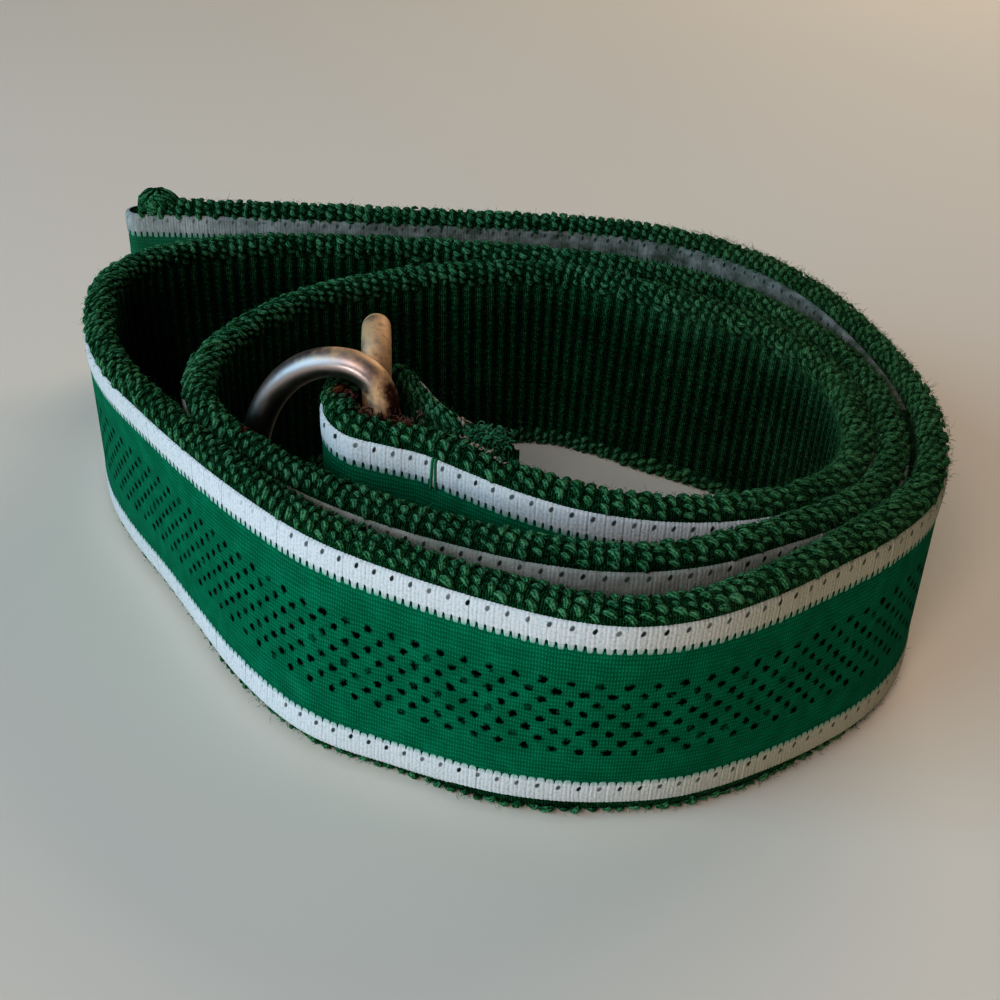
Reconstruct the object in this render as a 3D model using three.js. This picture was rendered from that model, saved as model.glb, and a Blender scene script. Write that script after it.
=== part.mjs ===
// D-ring web belt, coiled in three wraps and standing on its edge.
// Millimetres, +Z up. The belt rests on z = 0 and the origin is under the middle of its outline.
import * as THREE from 'three';

// Webbing: one thick woven strap, with a thicker woven edge along each side
const WEBBING_WIDTH = 32;
const WEBBING_CORE_HALF = 1.35;
const WEBBING_EDGE_HALF = 2;
const WEBBING_EDGE_HEIGHT = 2;
const WEBBING_EDGE_CHAMFER = 1.1;

// Ribbon: one knitted tape sewn along the outward face, round the tip and back on the inward face
const RIBBON_GAP = 0.2;
const RIBBON_THICKNESS = 1;
const RIBBON_MARGIN = WEBBING_EDGE_HEIGHT + 0.2;
const RIBBON_TIP_STEPS = 6;
const RIBBON_RETURN_END_Y = -6;

// D-rings: round wire, a straight bar and a half ellipse, joined by rounded corners
const RING_WIRE_RADIUS = 1.95;
const RING_HALF_HEIGHT = 19.5;
const RING_DEPTH = 19;
const RING_CORNER_RADIUS = 5;
const RING_CORNER_STEPS = 5;
const RING_ARC_STEPS = 26;
const RING_WIRE_SIDES = 12;
const RINGS = [
  { name: 'd_ring_left', barX: -11.2, barY: -22.3, headingDeg: 164 },
  { name: 'd_ring_rear', barX: -12.6, barY: -17.9, headingDeg: 96 },
];

// Spacing of the sections along the strap
const ROUTE_SAMPLES_PER_ROW = 60;
const LONGEST_STEP = 7;
const SHORTEST_STEP = 1.1;
const LARGEST_TURN = THREE.MathUtils.degToRad(7);

// Route of the strap's centre line, seen from above, one row for each section.
// x and y are the place of the top edge, foot is how far the bottom edge stands
// outward of it, and lift is the height of the bottom edge over the ground.

// From the cut end, back along the folded leg and round the two ring bars
const LOOP_ROWS = [
  { x: 5.0, y: -28.6, foot: 0, lift: 3.2 },
  { x: 0.2, y: -26.1, foot: 0, lift: 3.7 },
  { x: -4.3, y: -22.4, foot: 0, lift: 4.5 },
  { x: -7.4, y: -17.9, foot: 0, lift: 4.7 },
  { x: -9.4, y: -14.2, foot: 0, lift: 4.7 },
  { x: -12.9, y: -12.7, foot: 0, lift: 4.7 },
  { x: -16.2, y: -14.4, foot: 0, lift: 4.7 },
  { x: -17.1, y: -18.2, foot: 0, lift: 4.7 },
  { x: -16.6, y: -22.5, foot: 0, lift: 4.7 },
  { x: -14.3, y: -25.9, foot: 0, lift: 4.7 },
  { x: -10.4, y: -27.5, foot: 0, lift: 4.7 },
];

// Inner wrap: front, right turn, back and left turn
const FIRST_WRAP_ROWS = [
  { x: -5.0, y: -29.0, foot: 0, lift: 4.5 },
  { x: 0.8, y: -31.4, foot: 0, lift: 3.7 },
  { x: 7.0, y: -34.1, foot: 0, lift: 3.0 },
  { x: 14.5, y: -35.8, foot: 0, lift: 2.0 },
  { x: 23.0, y: -35.5, foot: 0, lift: 0.9 },
  { x: 32.0, y: -33.6, foot: 0, lift: 0.2 },
  { x: 40.0, y: -30.2, foot: 0, lift: 0 },
  { x: 46.6, y: -25.0, foot: 0, lift: 0 },
  { x: 50.3, y: -18.0, foot: 0, lift: 0 },
  { x: 51.5, y: -9.0, foot: 0, lift: 0 },
  { x: 51.1, y: 0.0, foot: 0, lift: 0 },
  { x: 48.3, y: 8.6, foot: 0, lift: 0 },
  { x: 43.6, y: 15.6, foot: -1, lift: 0 },
  { x: 37.6, y: 21.0, foot: -2, lift: 0 },
  { x: 29.5, y: 26.3, foot: -3, lift: 0 },
  { x: 20.6, y: 31.2, foot: -3, lift: 0 },
  { x: 12.0, y: 34.0, foot: -3, lift: 0 },
  { x: 2.0, y: 33.6, foot: -3, lift: 0 },
  { x: -8.0, y: 30.6, foot: -2, lift: 0 },
  { x: -18.0, y: 26.1, foot: -1, lift: 0 },
  { x: -26.8, y: 19.9, foot: 0, lift: 0 },
  { x: -33.0, y: 11.6, foot: 0, lift: 0 },
  { x: -36.7, y: 3.4, foot: 0, lift: 0 },
  { x: -38.1, y: -5.0, foot: 0, lift: 0 },
  { x: -37.1, y: -12.0, foot: -0.5, lift: 0 },
];

// Middle wrap: front, right turn, back and outer left turn
const SECOND_WRAP_ROWS = [
  { x: -34.2, y: -18.1, foot: -0.8, lift: 0 },
  { x: -28.0, y: -24.7, foot: -0.5, lift: 0 },
  { x: -20.2, y: -31.3, foot: 0, lift: 0 },
  { x: -10.6, y: -37.0, foot: 0, lift: 0 },
  { x: 0.0, y: -41.3, foot: 0, lift: 0 },
  { x: 10.0, y: -44.1, foot: 0, lift: 0 },
  { x: 19.0, y: -44.7, foot: 0, lift: 0 },
  { x: 28.0, y: -42.6, foot: 0, lift: 0 },
  { x: 36.0, y: -38.4, foot: 0.5, lift: 0 },
  { x: 44.0, y: -33.4, foot: 0.5, lift: 0 },
  { x: 51.1, y: -26.6, foot: 0, lift: 0 },
  { x: 54.9, y: -18.0, foot: 0, lift: 0 },
  { x: 55.9, y: -9.0, foot: 0, lift: 0 },
  { x: 55.5, y: 1.0, foot: 0, lift: 0 },
  { x: 52.6, y: 11.0, foot: 0, lift: 0 },
  { x: 47.8, y: 20.0, foot: 0, lift: 0 },
  { x: 41.0, y: 28.3, foot: -1, lift: 0 },
  { x: 33.0, y: 33.7, foot: -2, lift: 0 },
  { x: 24.5, y: 37.3, foot: -2, lift: 0 },
  { x: 13.0, y: 40.0, foot: -2, lift: 0 },
  { x: 0.0, y: 41.2, foot: -2, lift: 0 },
  { x: -15.0, y: 41.5, foot: -1, lift: 0 },
  { x: -29.0, y: 41.0, foot: 0, lift: 0 },
  { x: -40.0, y: 39.3, foot: 0, lift: 0 },
  { x: -48.6, y: 35.8, foot: 0, lift: 0 },
  { x: -55.0, y: 30.9, foot: 0, lift: 0 },
  { x: -58.2, y: 25.0, foot: 0, lift: 0 },
  { x: -58.5, y: 18.5, foot: 0, lift: 0 },
  { x: -57.1, y: 11.0, foot: 0, lift: 0 },
  { x: -54.0, y: 1.6, foot: -0.7, lift: 0 },
];

// Outer wrap: front, right turn and the free tail along the back
const THIRD_WRAP_ROWS = [
  { x: -49.2, y: -6.9, foot: -1.2, lift: 0 },
  { x: -41.9, y: -16.0, foot: -0.8, lift: 0 },
  { x: -34.8, y: -24.1, foot: 0.4, lift: 0 },
  { x: -25.6, y: -33.4, foot: 2.4, lift: 0 },
  { x: -16.0, y: -41.5, foot: 3.2, lift: 0 },
  { x: -5.6, y: -47.2, foot: 1.8, lift: 0 },
  { x: 5.5, y: -51.8, foot: 0.6, lift: 0 },
  { x: 13.0, y: -54.1, foot: -1, lift: 0 },
  { x: 19.5, y: -54.5, foot: -1.8, lift: 0 },
  { x: 26.5, y: -52.5, foot: -1, lift: 0 },
  { x: 34.0, y: -48.1, foot: 0.2, lift: 0 },
  { x: 42.0, y: -41.9, foot: 1.4, lift: 0 },
  { x: 50.0, y: -35.2, foot: 1.6, lift: 0 },
  { x: 56.0, y: -28.0, foot: 1, lift: 0 },
  { x: 59.6, y: -19.5, foot: 0.4, lift: 0 },
  { x: 61.4, y: -10.0, foot: 0, lift: 0 },
  { x: 61.5, y: 0.0, foot: 0, lift: 0 },
  { x: 60.0, y: 10.0, foot: 0, lift: 0 },
  { x: 57.2, y: 21.0, foot: 0, lift: 0 },
  { x: 53.0, y: 31.7, foot: 0, lift: 0 },
  { x: 46.5, y: 41.4, foot: 0, lift: 0 },
  { x: 38.0, y: 48.8, foot: 0, lift: 0 },
  { x: 27.5, y: 53.3, foot: 0, lift: 0 },
  { x: 14.0, y: 55.3, foot: 0, lift: 0 },
  { x: 0.0, y: 55.3, foot: 0, lift: 0 },
  { x: -15.0, y: 55.0, foot: 0, lift: 0 },
  { x: -30.0, y: 54.7, foot: 0, lift: 0 },
  { x: -46.0, y: 54.2, foot: 0, lift: 0 },
  { x: -62.3, y: 53.4, foot: 0, lift: 0 },
];

const UP = new THREE.Vector3(0, 0, 1);

// Sections across the strap along its route, closer together where it turns sharply.
// Each has its centre, its unit outward direction, its foot and its lift.
function strapStations(rows) {
  const places = rows.map((row) => new THREE.Vector3(row.x, row.y, row.lift));
  const feet = rows.map((row) => new THREE.Vector3(row.foot, 0, 0));
  const route = new THREE.CatmullRomCurve3(places, false, 'centripetal');
  const footing = new THREE.CatmullRomCurve3(feet, false, 'catmullrom', 0.5);
  const last = (rows.length - 1) * ROUTE_SAMPLES_PER_ROW;
  const stations = [];
  for (let i = 0; i <= last; i += 1) {
    const place = route.getPoint(i / last);
    const heading = route.getTangent(i / last).setZ(0).normalize();
    const station = {
      centre: new THREE.Vector3(place.x, place.y, 0),
      heading,
      outward: new THREE.Vector3(heading.y, -heading.x, 0),
      foot: footing.getPoint(i / last).x,
      lift: Math.max(place.z, 0),
    };
    const before = stations.at(-1);
    const step = before ? before.centre.distanceTo(station.centre) : Infinity;
    const turn = before ? before.heading.angleTo(heading) : Infinity;
    if (step >= LONGEST_STEP || (turn >= LARGEST_TURN && step >= SHORTEST_STEP)) {
      stations.push(station);
    } else if (i === last) {
      stations[stations.length - 1] = station;
    }
  }
  return stations;
}

// Point of a section: offset along the given side, height above the strap's bottom edge
function sectionPoint(station, side, offset, height) {
  const lean = station.foot * (1 - height / WEBBING_WIDTH);
  return station.centre
    .clone()
    .addScaledVector(station.outward, lean)
    .addScaledVector(side, offset)
    .addScaledVector(UP, station.lift + height);
}

// Closed solid through sections that all have the same number of points.
// Each side face splits from its lower corner here to its upper corner there, so that
// two faces lying against each other stay evenly apart. A ring closes on its first section.
function sweep(sections, isRing) {
  const sides = sections[0].length;
  const positions = sections.flat().flatMap((point) => [point.x, point.y, point.z]);
  const indices = [];
  const spans = isRing ? sections.length : sections.length - 1;
  for (let i = 0; i < spans; i += 1) {
    const here = i * sides;
    const there = ((i + 1) % sections.length) * sides;
    for (let j = 0; j < sides; j += 1) {
      const next = (j + 1) % sides;
      if (sections[i][j].z <= sections[i][next].z) {
        indices.push(here + j, there + j, there + next);
        indices.push(here + j, there + next, here + next);
      } else {
        indices.push(here + j, there + j, here + next);
        indices.push(there + j, there + next, here + next);
      }
    }
  }
  const geometry = new THREE.BufferGeometry();
  geometry.setAttribute('position', new THREE.Float32BufferAttribute(positions, 3));
  geometry.setIndex(indices);
  return geometry;
}

// Adds the two flat ends of an open sweep, from the outline of its section
function capEnds(geometry, outline, sectionCount) {
  const faces = THREE.ShapeUtils.triangulateShape(outline, []);
  const indices = Array.from(geometry.getIndex().array);
  const end = (sectionCount - 1) * outline.length;
  for (const [a, b, c] of faces) {
    indices.push(a, b, c);
    indices.push(end + a, end + c, end + b);
  }
  geometry.setIndex(indices);
  return geometry;
}

// Outline of the webbing: thick edges and a thinner core between them, as (offset, height)
function webbingOutline() {
  const top = WEBBING_WIDTH;
  const core = WEBBING_CORE_HALF;
  const edge = WEBBING_EDGE_HALF;
  const face = WEBBING_EDGE_HALF - WEBBING_EDGE_CHAMFER + 0.2;
  const rightSide = [
    [face, 0],
    [edge, WEBBING_EDGE_CHAMFER],
    [core, WEBBING_EDGE_HEIGHT],
    [core, top - WEBBING_EDGE_HEIGHT],
    [edge, top - WEBBING_EDGE_CHAMFER],
    [face, top],
  ];
  const leftSide = rightSide.map(([offset, height]) => [-offset, height]).reverse();
  return [...rightSide, ...leftSide].map(([offset, height]) => new THREE.Vector2(offset, height));
}

// Outline of the ribbon, with its inner face just clear of the webbing's core
function ribbonOutline() {
  const inner = WEBBING_CORE_HALF + RIBBON_GAP;
  const outer = inner + RIBBON_THICKNESS;
  const low = RIBBON_MARGIN;
  const high = WEBBING_WIDTH - RIBBON_MARGIN;
  return [
    new THREE.Vector2(inner, low),
    new THREE.Vector2(outer, low),
    new THREE.Vector2(outer, high),
    new THREE.Vector2(inner, high),
  ];
}

function buildWebbing(stations) {
  const outline = webbingOutline();
  const sections = stations.map((station) =>
    outline.map((point) => sectionPoint(station, station.outward, point.x, point.y)),
  );
  return capEnds(sweep(sections, false), outline, sections.length);
}

// The ribbon follows the outward face to the tip, turns round it and comes back inside
function buildRibbon(stations) {
  const outline = ribbonOutline();
  const across = (station, side) =>
    outline.map((point) => sectionPoint(station, side, point.x, point.y));
  const sections = stations.map((station) => across(station, station.outward));
  const tip = stations.at(-1);
  for (let i = 1; i < RIBBON_TIP_STEPS; i += 1) {
    const turned = (Math.PI * i) / RIBBON_TIP_STEPS;
    const side = tip.outward.clone().applyAxisAngle(UP, turned);
    sections.push(across(tip, side));
  }
  for (const station of [...stations].reverse()) {
    sections.push(across(station, station.outward.clone().negate()));
    if (station.centre.x > 0 && station.centre.y < RIBBON_RETURN_END_Y) {
      break;
    }
  }
  return capEnds(sweep(sections, false), outline, sections.length);
}

// Centre line of a D-ring's wire: reach away from the bar, and height from the ring's middle
function ringPath() {
  const straight = RING_HALF_HEIGHT - RING_CORNER_RADIUS;
  const arcReach = RING_DEPTH - RING_CORNER_RADIUS;
  const path = [];
  for (let i = 0; i < RING_CORNER_STEPS; i += 1) {
    const angle = (Math.PI / 2) * (i / RING_CORNER_STEPS);
    path.push([
      RING_CORNER_RADIUS * (1 - Math.cos(angle)),
      straight + RING_CORNER_RADIUS * Math.sin(angle),
    ]);
  }
  for (let i = 0; i <= RING_ARC_STEPS; i += 1) {
    const angle = Math.PI * (0.5 - i / RING_ARC_STEPS);
    path.push([
      RING_CORNER_RADIUS + arcReach * Math.cos(angle),
      RING_HALF_HEIGHT * Math.sin(angle),
    ]);
  }
  for (let i = RING_CORNER_STEPS - 1; i >= 0; i -= 1) {
    const angle = (Math.PI / 2) * (i / RING_CORNER_STEPS);
    path.push([
      RING_CORNER_RADIUS * (1 - Math.cos(angle)),
      -straight - RING_CORNER_RADIUS * Math.sin(angle),
    ]);
  }
  return path;
}

// One D-ring standing on the ground, with its bar upright inside the strap's fold
function buildRing(ring) {
  const heading = THREE.MathUtils.degToRad(ring.headingDeg);
  const away = new THREE.Vector3(Math.cos(heading), Math.sin(heading), 0);
  const flat = new THREE.Vector3().crossVectors(UP, away);
  const middle = new THREE.Vector3(ring.barX, ring.barY, RING_HALF_HEIGHT + RING_WIRE_RADIUS);
  const places = ringPath().map(([reach, height]) =>
    middle.clone().addScaledVector(away, reach).addScaledVector(UP, height),
  );
  const sections = places.map((place, i) => {
    const before = places.at(i - 1);
    const after = places[(i + 1) % places.length];
    const along = after.clone().sub(before).normalize();
    const out = new THREE.Vector3().crossVectors(along, flat);
    return Array.from({ length: RING_WIRE_SIDES }, (_, j) => {
      const angle = (2 * Math.PI * j) / RING_WIRE_SIDES;
      return place
        .clone()
        .addScaledVector(out, RING_WIRE_RADIUS * Math.cos(angle))
        .addScaledVector(flat, RING_WIRE_RADIUS * Math.sin(angle));
    });
  });
  return sweep(sections, true);
}

function namedMesh(name, geometry, material) {
  geometry.computeVertexNormals();
  const mesh = new THREE.Mesh(geometry, material);
  mesh.name = name;
  return mesh;
}

const webbingMaterial = new THREE.MeshStandardMaterial({
  color: 0x1f4a32,
  roughness: 0.95,
  metalness: 0,
});
const ribbonMaterial = new THREE.MeshStandardMaterial({
  color: 0x04694a,
  roughness: 0.85,
  metalness: 0,
});
const ringMaterial = new THREE.MeshStandardMaterial({
  color: 0xa79a84,
  roughness: 0.3,
  metalness: 0.9,
});

const stations = strapStations([
  ...LOOP_ROWS,
  ...FIRST_WRAP_ROWS,
  ...SECOND_WRAP_ROWS,
  ...THIRD_WRAP_ROWS,
]);

const belt = new THREE.Group();
belt.add(namedMesh('webbing', buildWebbing(stations), webbingMaterial));
belt.add(namedMesh('ribbon', buildRibbon(stations), ribbonMaterial));
for (const ring of RINGS) {
  belt.add(namedMesh(ring.name, buildRing(ring), ringMaterial));
}

// The origin goes under the middle of the outline
const middle = new THREE.Box3().setFromObject(belt).getCenter(new THREE.Vector3());
belt.position.set(-middle.x, -middle.y, 0);

export default belt;
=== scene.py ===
"""A D-ring web belt: heavy green webbing with a knitted ribbon on its face, coiled and stood on its edge."""

import logging
import math
from dataclasses import dataclass, field
from enum import Enum

import bpy
import numpy as np
from mathutils import Matrix, Vector

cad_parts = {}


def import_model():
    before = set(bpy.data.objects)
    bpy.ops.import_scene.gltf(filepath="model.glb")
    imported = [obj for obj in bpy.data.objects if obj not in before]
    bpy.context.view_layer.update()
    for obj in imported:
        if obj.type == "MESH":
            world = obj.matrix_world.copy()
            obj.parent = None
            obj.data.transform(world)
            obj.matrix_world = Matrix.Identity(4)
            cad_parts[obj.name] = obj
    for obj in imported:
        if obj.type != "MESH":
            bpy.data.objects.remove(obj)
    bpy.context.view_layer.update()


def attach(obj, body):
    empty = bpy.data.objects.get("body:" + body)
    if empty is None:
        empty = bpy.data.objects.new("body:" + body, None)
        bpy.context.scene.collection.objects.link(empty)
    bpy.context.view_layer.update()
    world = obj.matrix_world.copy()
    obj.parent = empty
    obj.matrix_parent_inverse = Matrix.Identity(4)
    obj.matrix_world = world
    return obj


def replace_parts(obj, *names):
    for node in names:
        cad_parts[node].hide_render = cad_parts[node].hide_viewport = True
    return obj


LOG = logging.getLogger("belt")
MM = 0.001
TAU = 2 * math.pi
Tree = bpy.types.NodeTree
Socket = bpy.types.NodeSocket
Triple = tuple[float, float, float]
Quadruple = tuple[float, float, float, float]
Numbers = np.ndarray | float
# How long one band of a wave texture is at a scale of 1
WAVE_BAND = 0.314
# How far loose fibres stay above the ground, in millimetres
GROUND_GAP = 0.03

# Sizes of the strap and the ribbon in millimetres, as in the part's own source
WEBBING_WIDTH = 32.0
CORE_HALF = 1.35
RIBBON_LOW = 2.2
RIBBON_HIGH = 29.8
RIBBON_INNER = 1.55
RIBBON_FACE = 2.4

# The strap's route, seen from above, in millimetres: x, y, foot and lift, as in the part's own table.
# Foot is how far the lower edge stands outward of the top edge, lift how far it is off the ground.
ROUTE_ROWS = [
    # from the cut end, along the folded leg and round the two ring bars
    (5.0, -28.6, 0, 3.2),
    (0.2, -26.1, 0, 3.7),
    (-4.3, -22.4, 0, 4.5),
    (-7.4, -17.9, 0, 4.7),
    (-9.4, -14.2, 0, 4.7),
    (-12.9, -12.7, 0, 4.7),
    (-16.2, -14.4, 0, 4.7),
    (-17.1, -18.2, 0, 4.7),
    (-16.6, -22.5, 0, 4.7),
    (-14.3, -25.9, 0, 4.7),
    (-10.4, -27.5, 0, 4.7),
    # inner wrap
    (-5.0, -29.0, 0, 4.5),
    (0.8, -31.4, 0, 3.7),
    (7.0, -34.1, 0, 3.0),
    (14.5, -35.8, 0, 2.0),
    (23.0, -35.5, 0, 0.9),
    (32.0, -33.6, 0, 0.2),
    (40.0, -30.2, 0, 0),
    (46.6, -25.0, 0, 0),
    (50.3, -18.0, 0, 0),
    (51.5, -9.0, 0, 0),
    (51.1, 0.0, 0, 0),
    (48.3, 8.6, 0, 0),
    (43.6, 15.6, -1, 0),
    (37.6, 21.0, -2, 0),
    (29.5, 26.3, -3, 0),
    (20.6, 31.2, -3, 0),
    (12.0, 34.0, -3, 0),
    (2.0, 33.6, -3, 0),
    (-8.0, 30.6, -2, 0),
    (-18.0, 26.1, -1, 0),
    (-26.8, 19.9, 0, 0),
    (-33.0, 11.6, 0, 0),
    (-36.7, 3.4, 0, 0),
    (-38.1, -5.0, 0, 0),
    (-37.1, -12.0, -0.5, 0),
    # middle wrap
    (-34.2, -18.1, -0.8, 0),
    (-28.0, -24.7, -0.5, 0),
    (-20.2, -31.3, 0, 0),
    (-10.6, -37.0, 0, 0),
    (0.0, -41.3, 0, 0),
    (10.0, -44.1, 0, 0),
    (19.0, -44.7, 0, 0),
    (28.0, -42.6, 0, 0),
    (36.0, -38.4, 0.5, 0),
    (44.0, -33.4, 0.5, 0),
    (51.1, -26.6, 0, 0),
    (54.9, -18.0, 0, 0),
    (55.9, -9.0, 0, 0),
    (55.5, 1.0, 0, 0),
    (52.6, 11.0, 0, 0),
    (47.8, 20.0, 0, 0),
    (41.0, 28.3, -1, 0),
    (33.0, 33.7, -2, 0),
    (24.5, 37.3, -2, 0),
    (13.0, 40.0, -2, 0),
    (0.0, 41.2, -2, 0),
    (-15.0, 41.5, -1, 0),
    (-29.0, 41.0, 0, 0),
    (-40.0, 39.3, 0, 0),
    (-48.6, 35.8, 0, 0),
    (-55.0, 30.9, 0, 0),
    (-58.2, 25.0, 0, 0),
    (-58.5, 18.5, 0, 0),
    (-57.1, 11.0, 0, 0),
    (-54.0, 1.6, -0.7, 0),
    # outer wrap and tail
    (-49.2, -6.9, -1.2, 0),
    (-41.9, -16.0, -0.8, 0),
    (-34.8, -24.1, 0.4, 0),
    (-25.6, -33.4, 2.4, 0),
    (-16.0, -41.5, 3.2, 0),
    (-5.6, -47.2, 1.8, 0),
    (5.5, -51.8, 0.6, 0),
    (13.0, -54.1, -1, 0),
    (19.5, -54.5, -1.8, 0),
    (26.5, -52.5, -1, 0),
    (34.0, -48.1, 0.2, 0),
    (42.0, -41.9, 1.4, 0),
    (50.0, -35.2, 1.6, 0),
    (56.0, -28.0, 1, 0),
    (59.6, -19.5, 0.4, 0),
    (61.4, -10.0, 0, 0),
    (61.5, 0.0, 0, 0),
    (60.0, 10.0, 0, 0),
    (57.2, 21.0, 0, 0),
    (53.0, 31.7, 0, 0),
    (46.5, 41.4, 0, 0),
    (38.0, 48.8, 0, 0),
    (27.5, 53.3, 0, 0),
    (14.0, 55.3, 0, 0),
    (0.0, 55.3, 0, 0),
    (-15.0, 55.0, 0, 0),
    (-30.0, 54.7, 0, 0),
    (-46.0, 54.2, 0, 0),
    (-62.3, 53.4, 0, 0),
]
# Where the table's origin is in the part's own frame
ROUTE_ORIGIN = np.array([0.3202, -0.4972])


class Edge(Enum):
    """The strap's two woven edges."""

    TOP = "top"
    BOTTOM = "bottom"


def smoothstep(low: float, high: float, value: np.ndarray) -> np.ndarray:
    """Goes from 0 at low to 1 at high, as 3t^2 - 2t^3."""
    t = np.clip((value - low) / (high - low), 0, 1)
    return t * t * (3 - 2 * t)


def plateau(stops: Quadruple, value: np.ndarray) -> np.ndarray:
    """Goes from 0 to 1 between the first two stops, and back to 0 between the last two."""
    return smoothstep(stops[0], stops[1], value) * smoothstep(stops[3], stops[2], value)


def linear_colour(code: str) -> Quadruple:
    """Turns an sRGB hex colour into linear light.

    Args:
        code: six hex digits after a #.

    Returns:
        The linear red, green, blue and an alpha of 1.
    """
    parts = np.array([int(code[i : i + 2], 16) / 255 for i in (1, 3, 5)])
    linear = np.where(parts <= 0.04045, parts / 12.92, ((parts + 0.055) / 1.055) ** 2.4)
    return (*linear.tolist(), 1.0)


def add_node(
    tree: Tree, kind: str, inputs: dict | None = None, output: str = "", **settings: str | bool
) -> Socket | None:
    """Adds one node with its settings, socket values and links.

    Args:
        tree: the node tree that gets it.
        kind: the node's type, without the ShaderNode that it starts with.
        inputs: a value, an sRGB hex colour or another node's output for each input, by name or number.
        output: the output that is wanted, if it isn't the first one in use.
        settings: the node's own properties.

    Returns:
        The wanted output, or None from a node that has none.
    """
    made = tree.nodes.new("ShaderNode" + kind)
    for name, value in settings.items():
        setattr(made, name, value)
    for name, value in (inputs or {}).items():
        if isinstance(value, Socket):
            tree.links.new(value, made.inputs[name])
        else:
            made.inputs[name].default_value = linear_colour(value) if isinstance(value, str) else value
    return made.outputs[output] if output else next((one for one in made.outputs if one.enabled), None)


def colour_stops(ramp: bpy.types.ColorRamp, *stops: tuple[float, str]) -> None:
    """Sets a new ramp's first and last stop, and adds the ones between.

    Args:
        ramp: the ramp, with the two stops that a new one has.
        stops: the place from 0 to 1 and the sRGB colour of each stop, in order.
    """
    for element, (place, colour) in zip(ramp.elements, (stops[0], stops[-1])):
        element.position = place
        element.color = linear_colour(colour)
    for place, colour in stops[1:-1]:
        ramp.elements.new(place).color = linear_colour(colour)


def mesh_piece(
    name: str,
    points: np.ndarray,
    faces: np.ndarray,
    weave: tuple[np.ndarray, np.ndarray] | None = None,
    marks: dict[str, np.ndarray] | None = None,
) -> bpy.types.Object:
    """Makes a smooth mesh object at the origin.

    Args:
        name: the piece's name.
        points: the vertices in millimetres, a grid of any shape with x, y and z last.
        faces: the corners of each face, all with the same number of corners.
        weave: each vertex's place along and across the strap in millimetres, kept as the UV map "weave".
        marks: a number for each vertex under each name, kept as mesh attributes.

    Returns:
        The object, linked to the scene.
    """
    mesh = bpy.data.meshes.new(name)
    grid = points.shape[:-1]
    mesh.vertices.add(points.size // 3)
    mesh.vertices.foreach_set("co", (points * MM).astype(np.float32).ravel())
    mesh.loops.add(faces.size)
    mesh.loops.foreach_set("vertex_index", faces.astype(np.int32).ravel())
    mesh.polygons.add(len(faces))
    mesh.polygons.foreach_set("loop_start", np.arange(0, faces.size, faces.shape[1], dtype=np.int32))
    mesh.polygons.foreach_set("use_smooth", np.ones(len(faces), dtype=bool))
    if weave is not None:
        place = np.stack([np.broadcast_to(part, grid) for part in weave], axis=-1).reshape(-1, 2)
        layer = mesh.uv_layers.new(name="weave")
        layer.data.foreach_set("uv", place[faces.ravel()].astype(np.float32).ravel())
    for mark, values in (marks or {}).items():
        attribute = mesh.attributes.new(mark, "FLOAT", "POINT")
        attribute.data.foreach_set("value", np.broadcast_to(values, grid).astype(np.float32).ravel())
    mesh.update(calc_edges=True)
    mesh.validate()
    piece = bpy.data.objects.new(name, mesh)
    bpy.context.scene.collection.objects.link(piece)
    return piece


def grid_faces(rows: int, columns: int, wrap_rows: bool = False, wrap_columns: bool = False) -> np.ndarray:
    """Quads of a grid whose vertices run along the columns first.

    Args:
        rows: how many rows of vertices there are.
        columns: how many vertices are in a row.
        wrap_rows: whether the last row joins the first.
        wrap_columns: whether the last vertex of a row joins its first.

    Returns:
        Four corner numbers for each quad.
    """
    i = np.arange(rows if wrap_rows else rows - 1)[:, None]
    j = np.arange(columns if wrap_columns else columns - 1)[None, :]
    here = i * columns
    there = (i + 1) % rows * columns
    beside = (j + 1) % columns
    return np.stack([here + j, there + j, there + beside, here + beside], axis=-1).reshape(-1, 4)


def band_faces(rows: int, columns: int) -> np.ndarray:
    """Quads of a closed outline carried along the rows, with a cap at each end.

    The outline's second half runs back beside its first, so a cap's quads join the points of the two halves
    that face each other.

    Args:
        rows: how many outlines there are.
        columns: how many points an outline has.

    Returns:
        Four corner numbers for each quad.
    """
    i = np.arange(columns // 2 - 1)
    start = np.stack([i, i + 1, columns - 2 - i, columns - 1 - i], axis=1)
    end = start[:, ::-1] + (rows - 1) * columns
    return np.vstack([grid_faces(rows, columns, wrap_columns=True), start, end])


def many_faces(count: int, points_each: int, faces: np.ndarray) -> np.ndarray:
    """The faces of many equal small forms whose vertices follow one another."""
    return (np.arange(count)[:, None, None] * points_each + faces[None]).reshape(-1, faces.shape[1])


def spindle_faces(rings: int) -> np.ndarray:
    """Triangles of a three-sided spindle: its first point, then the rings of three, then its last point.

    Args:
        rings: how many rings of three points there are between its ends.

    Returns:
        Three corner numbers for each triangle.
    """
    side = np.arange(3)
    beside = (side + 1) % 3
    last = 3 * rings + 1
    ring = 1 + 3 * np.arange(rings - 1)[:, None]
    first_fan = np.stack([0 * side, 1 + side, 1 + beside], axis=1)
    near = np.stack([ring + side, ring + 3 + side, ring + 3 + beside], axis=-1).reshape(-1, 3)
    far = np.stack([ring + side, ring + 3 + beside, ring + beside], axis=-1).reshape(-1, 3)
    last_fan = np.stack([last - 3 + side, last + 0 * side, last - 3 + beside], axis=1)
    return np.vstack([first_fan, near, far, last_fan])


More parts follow.
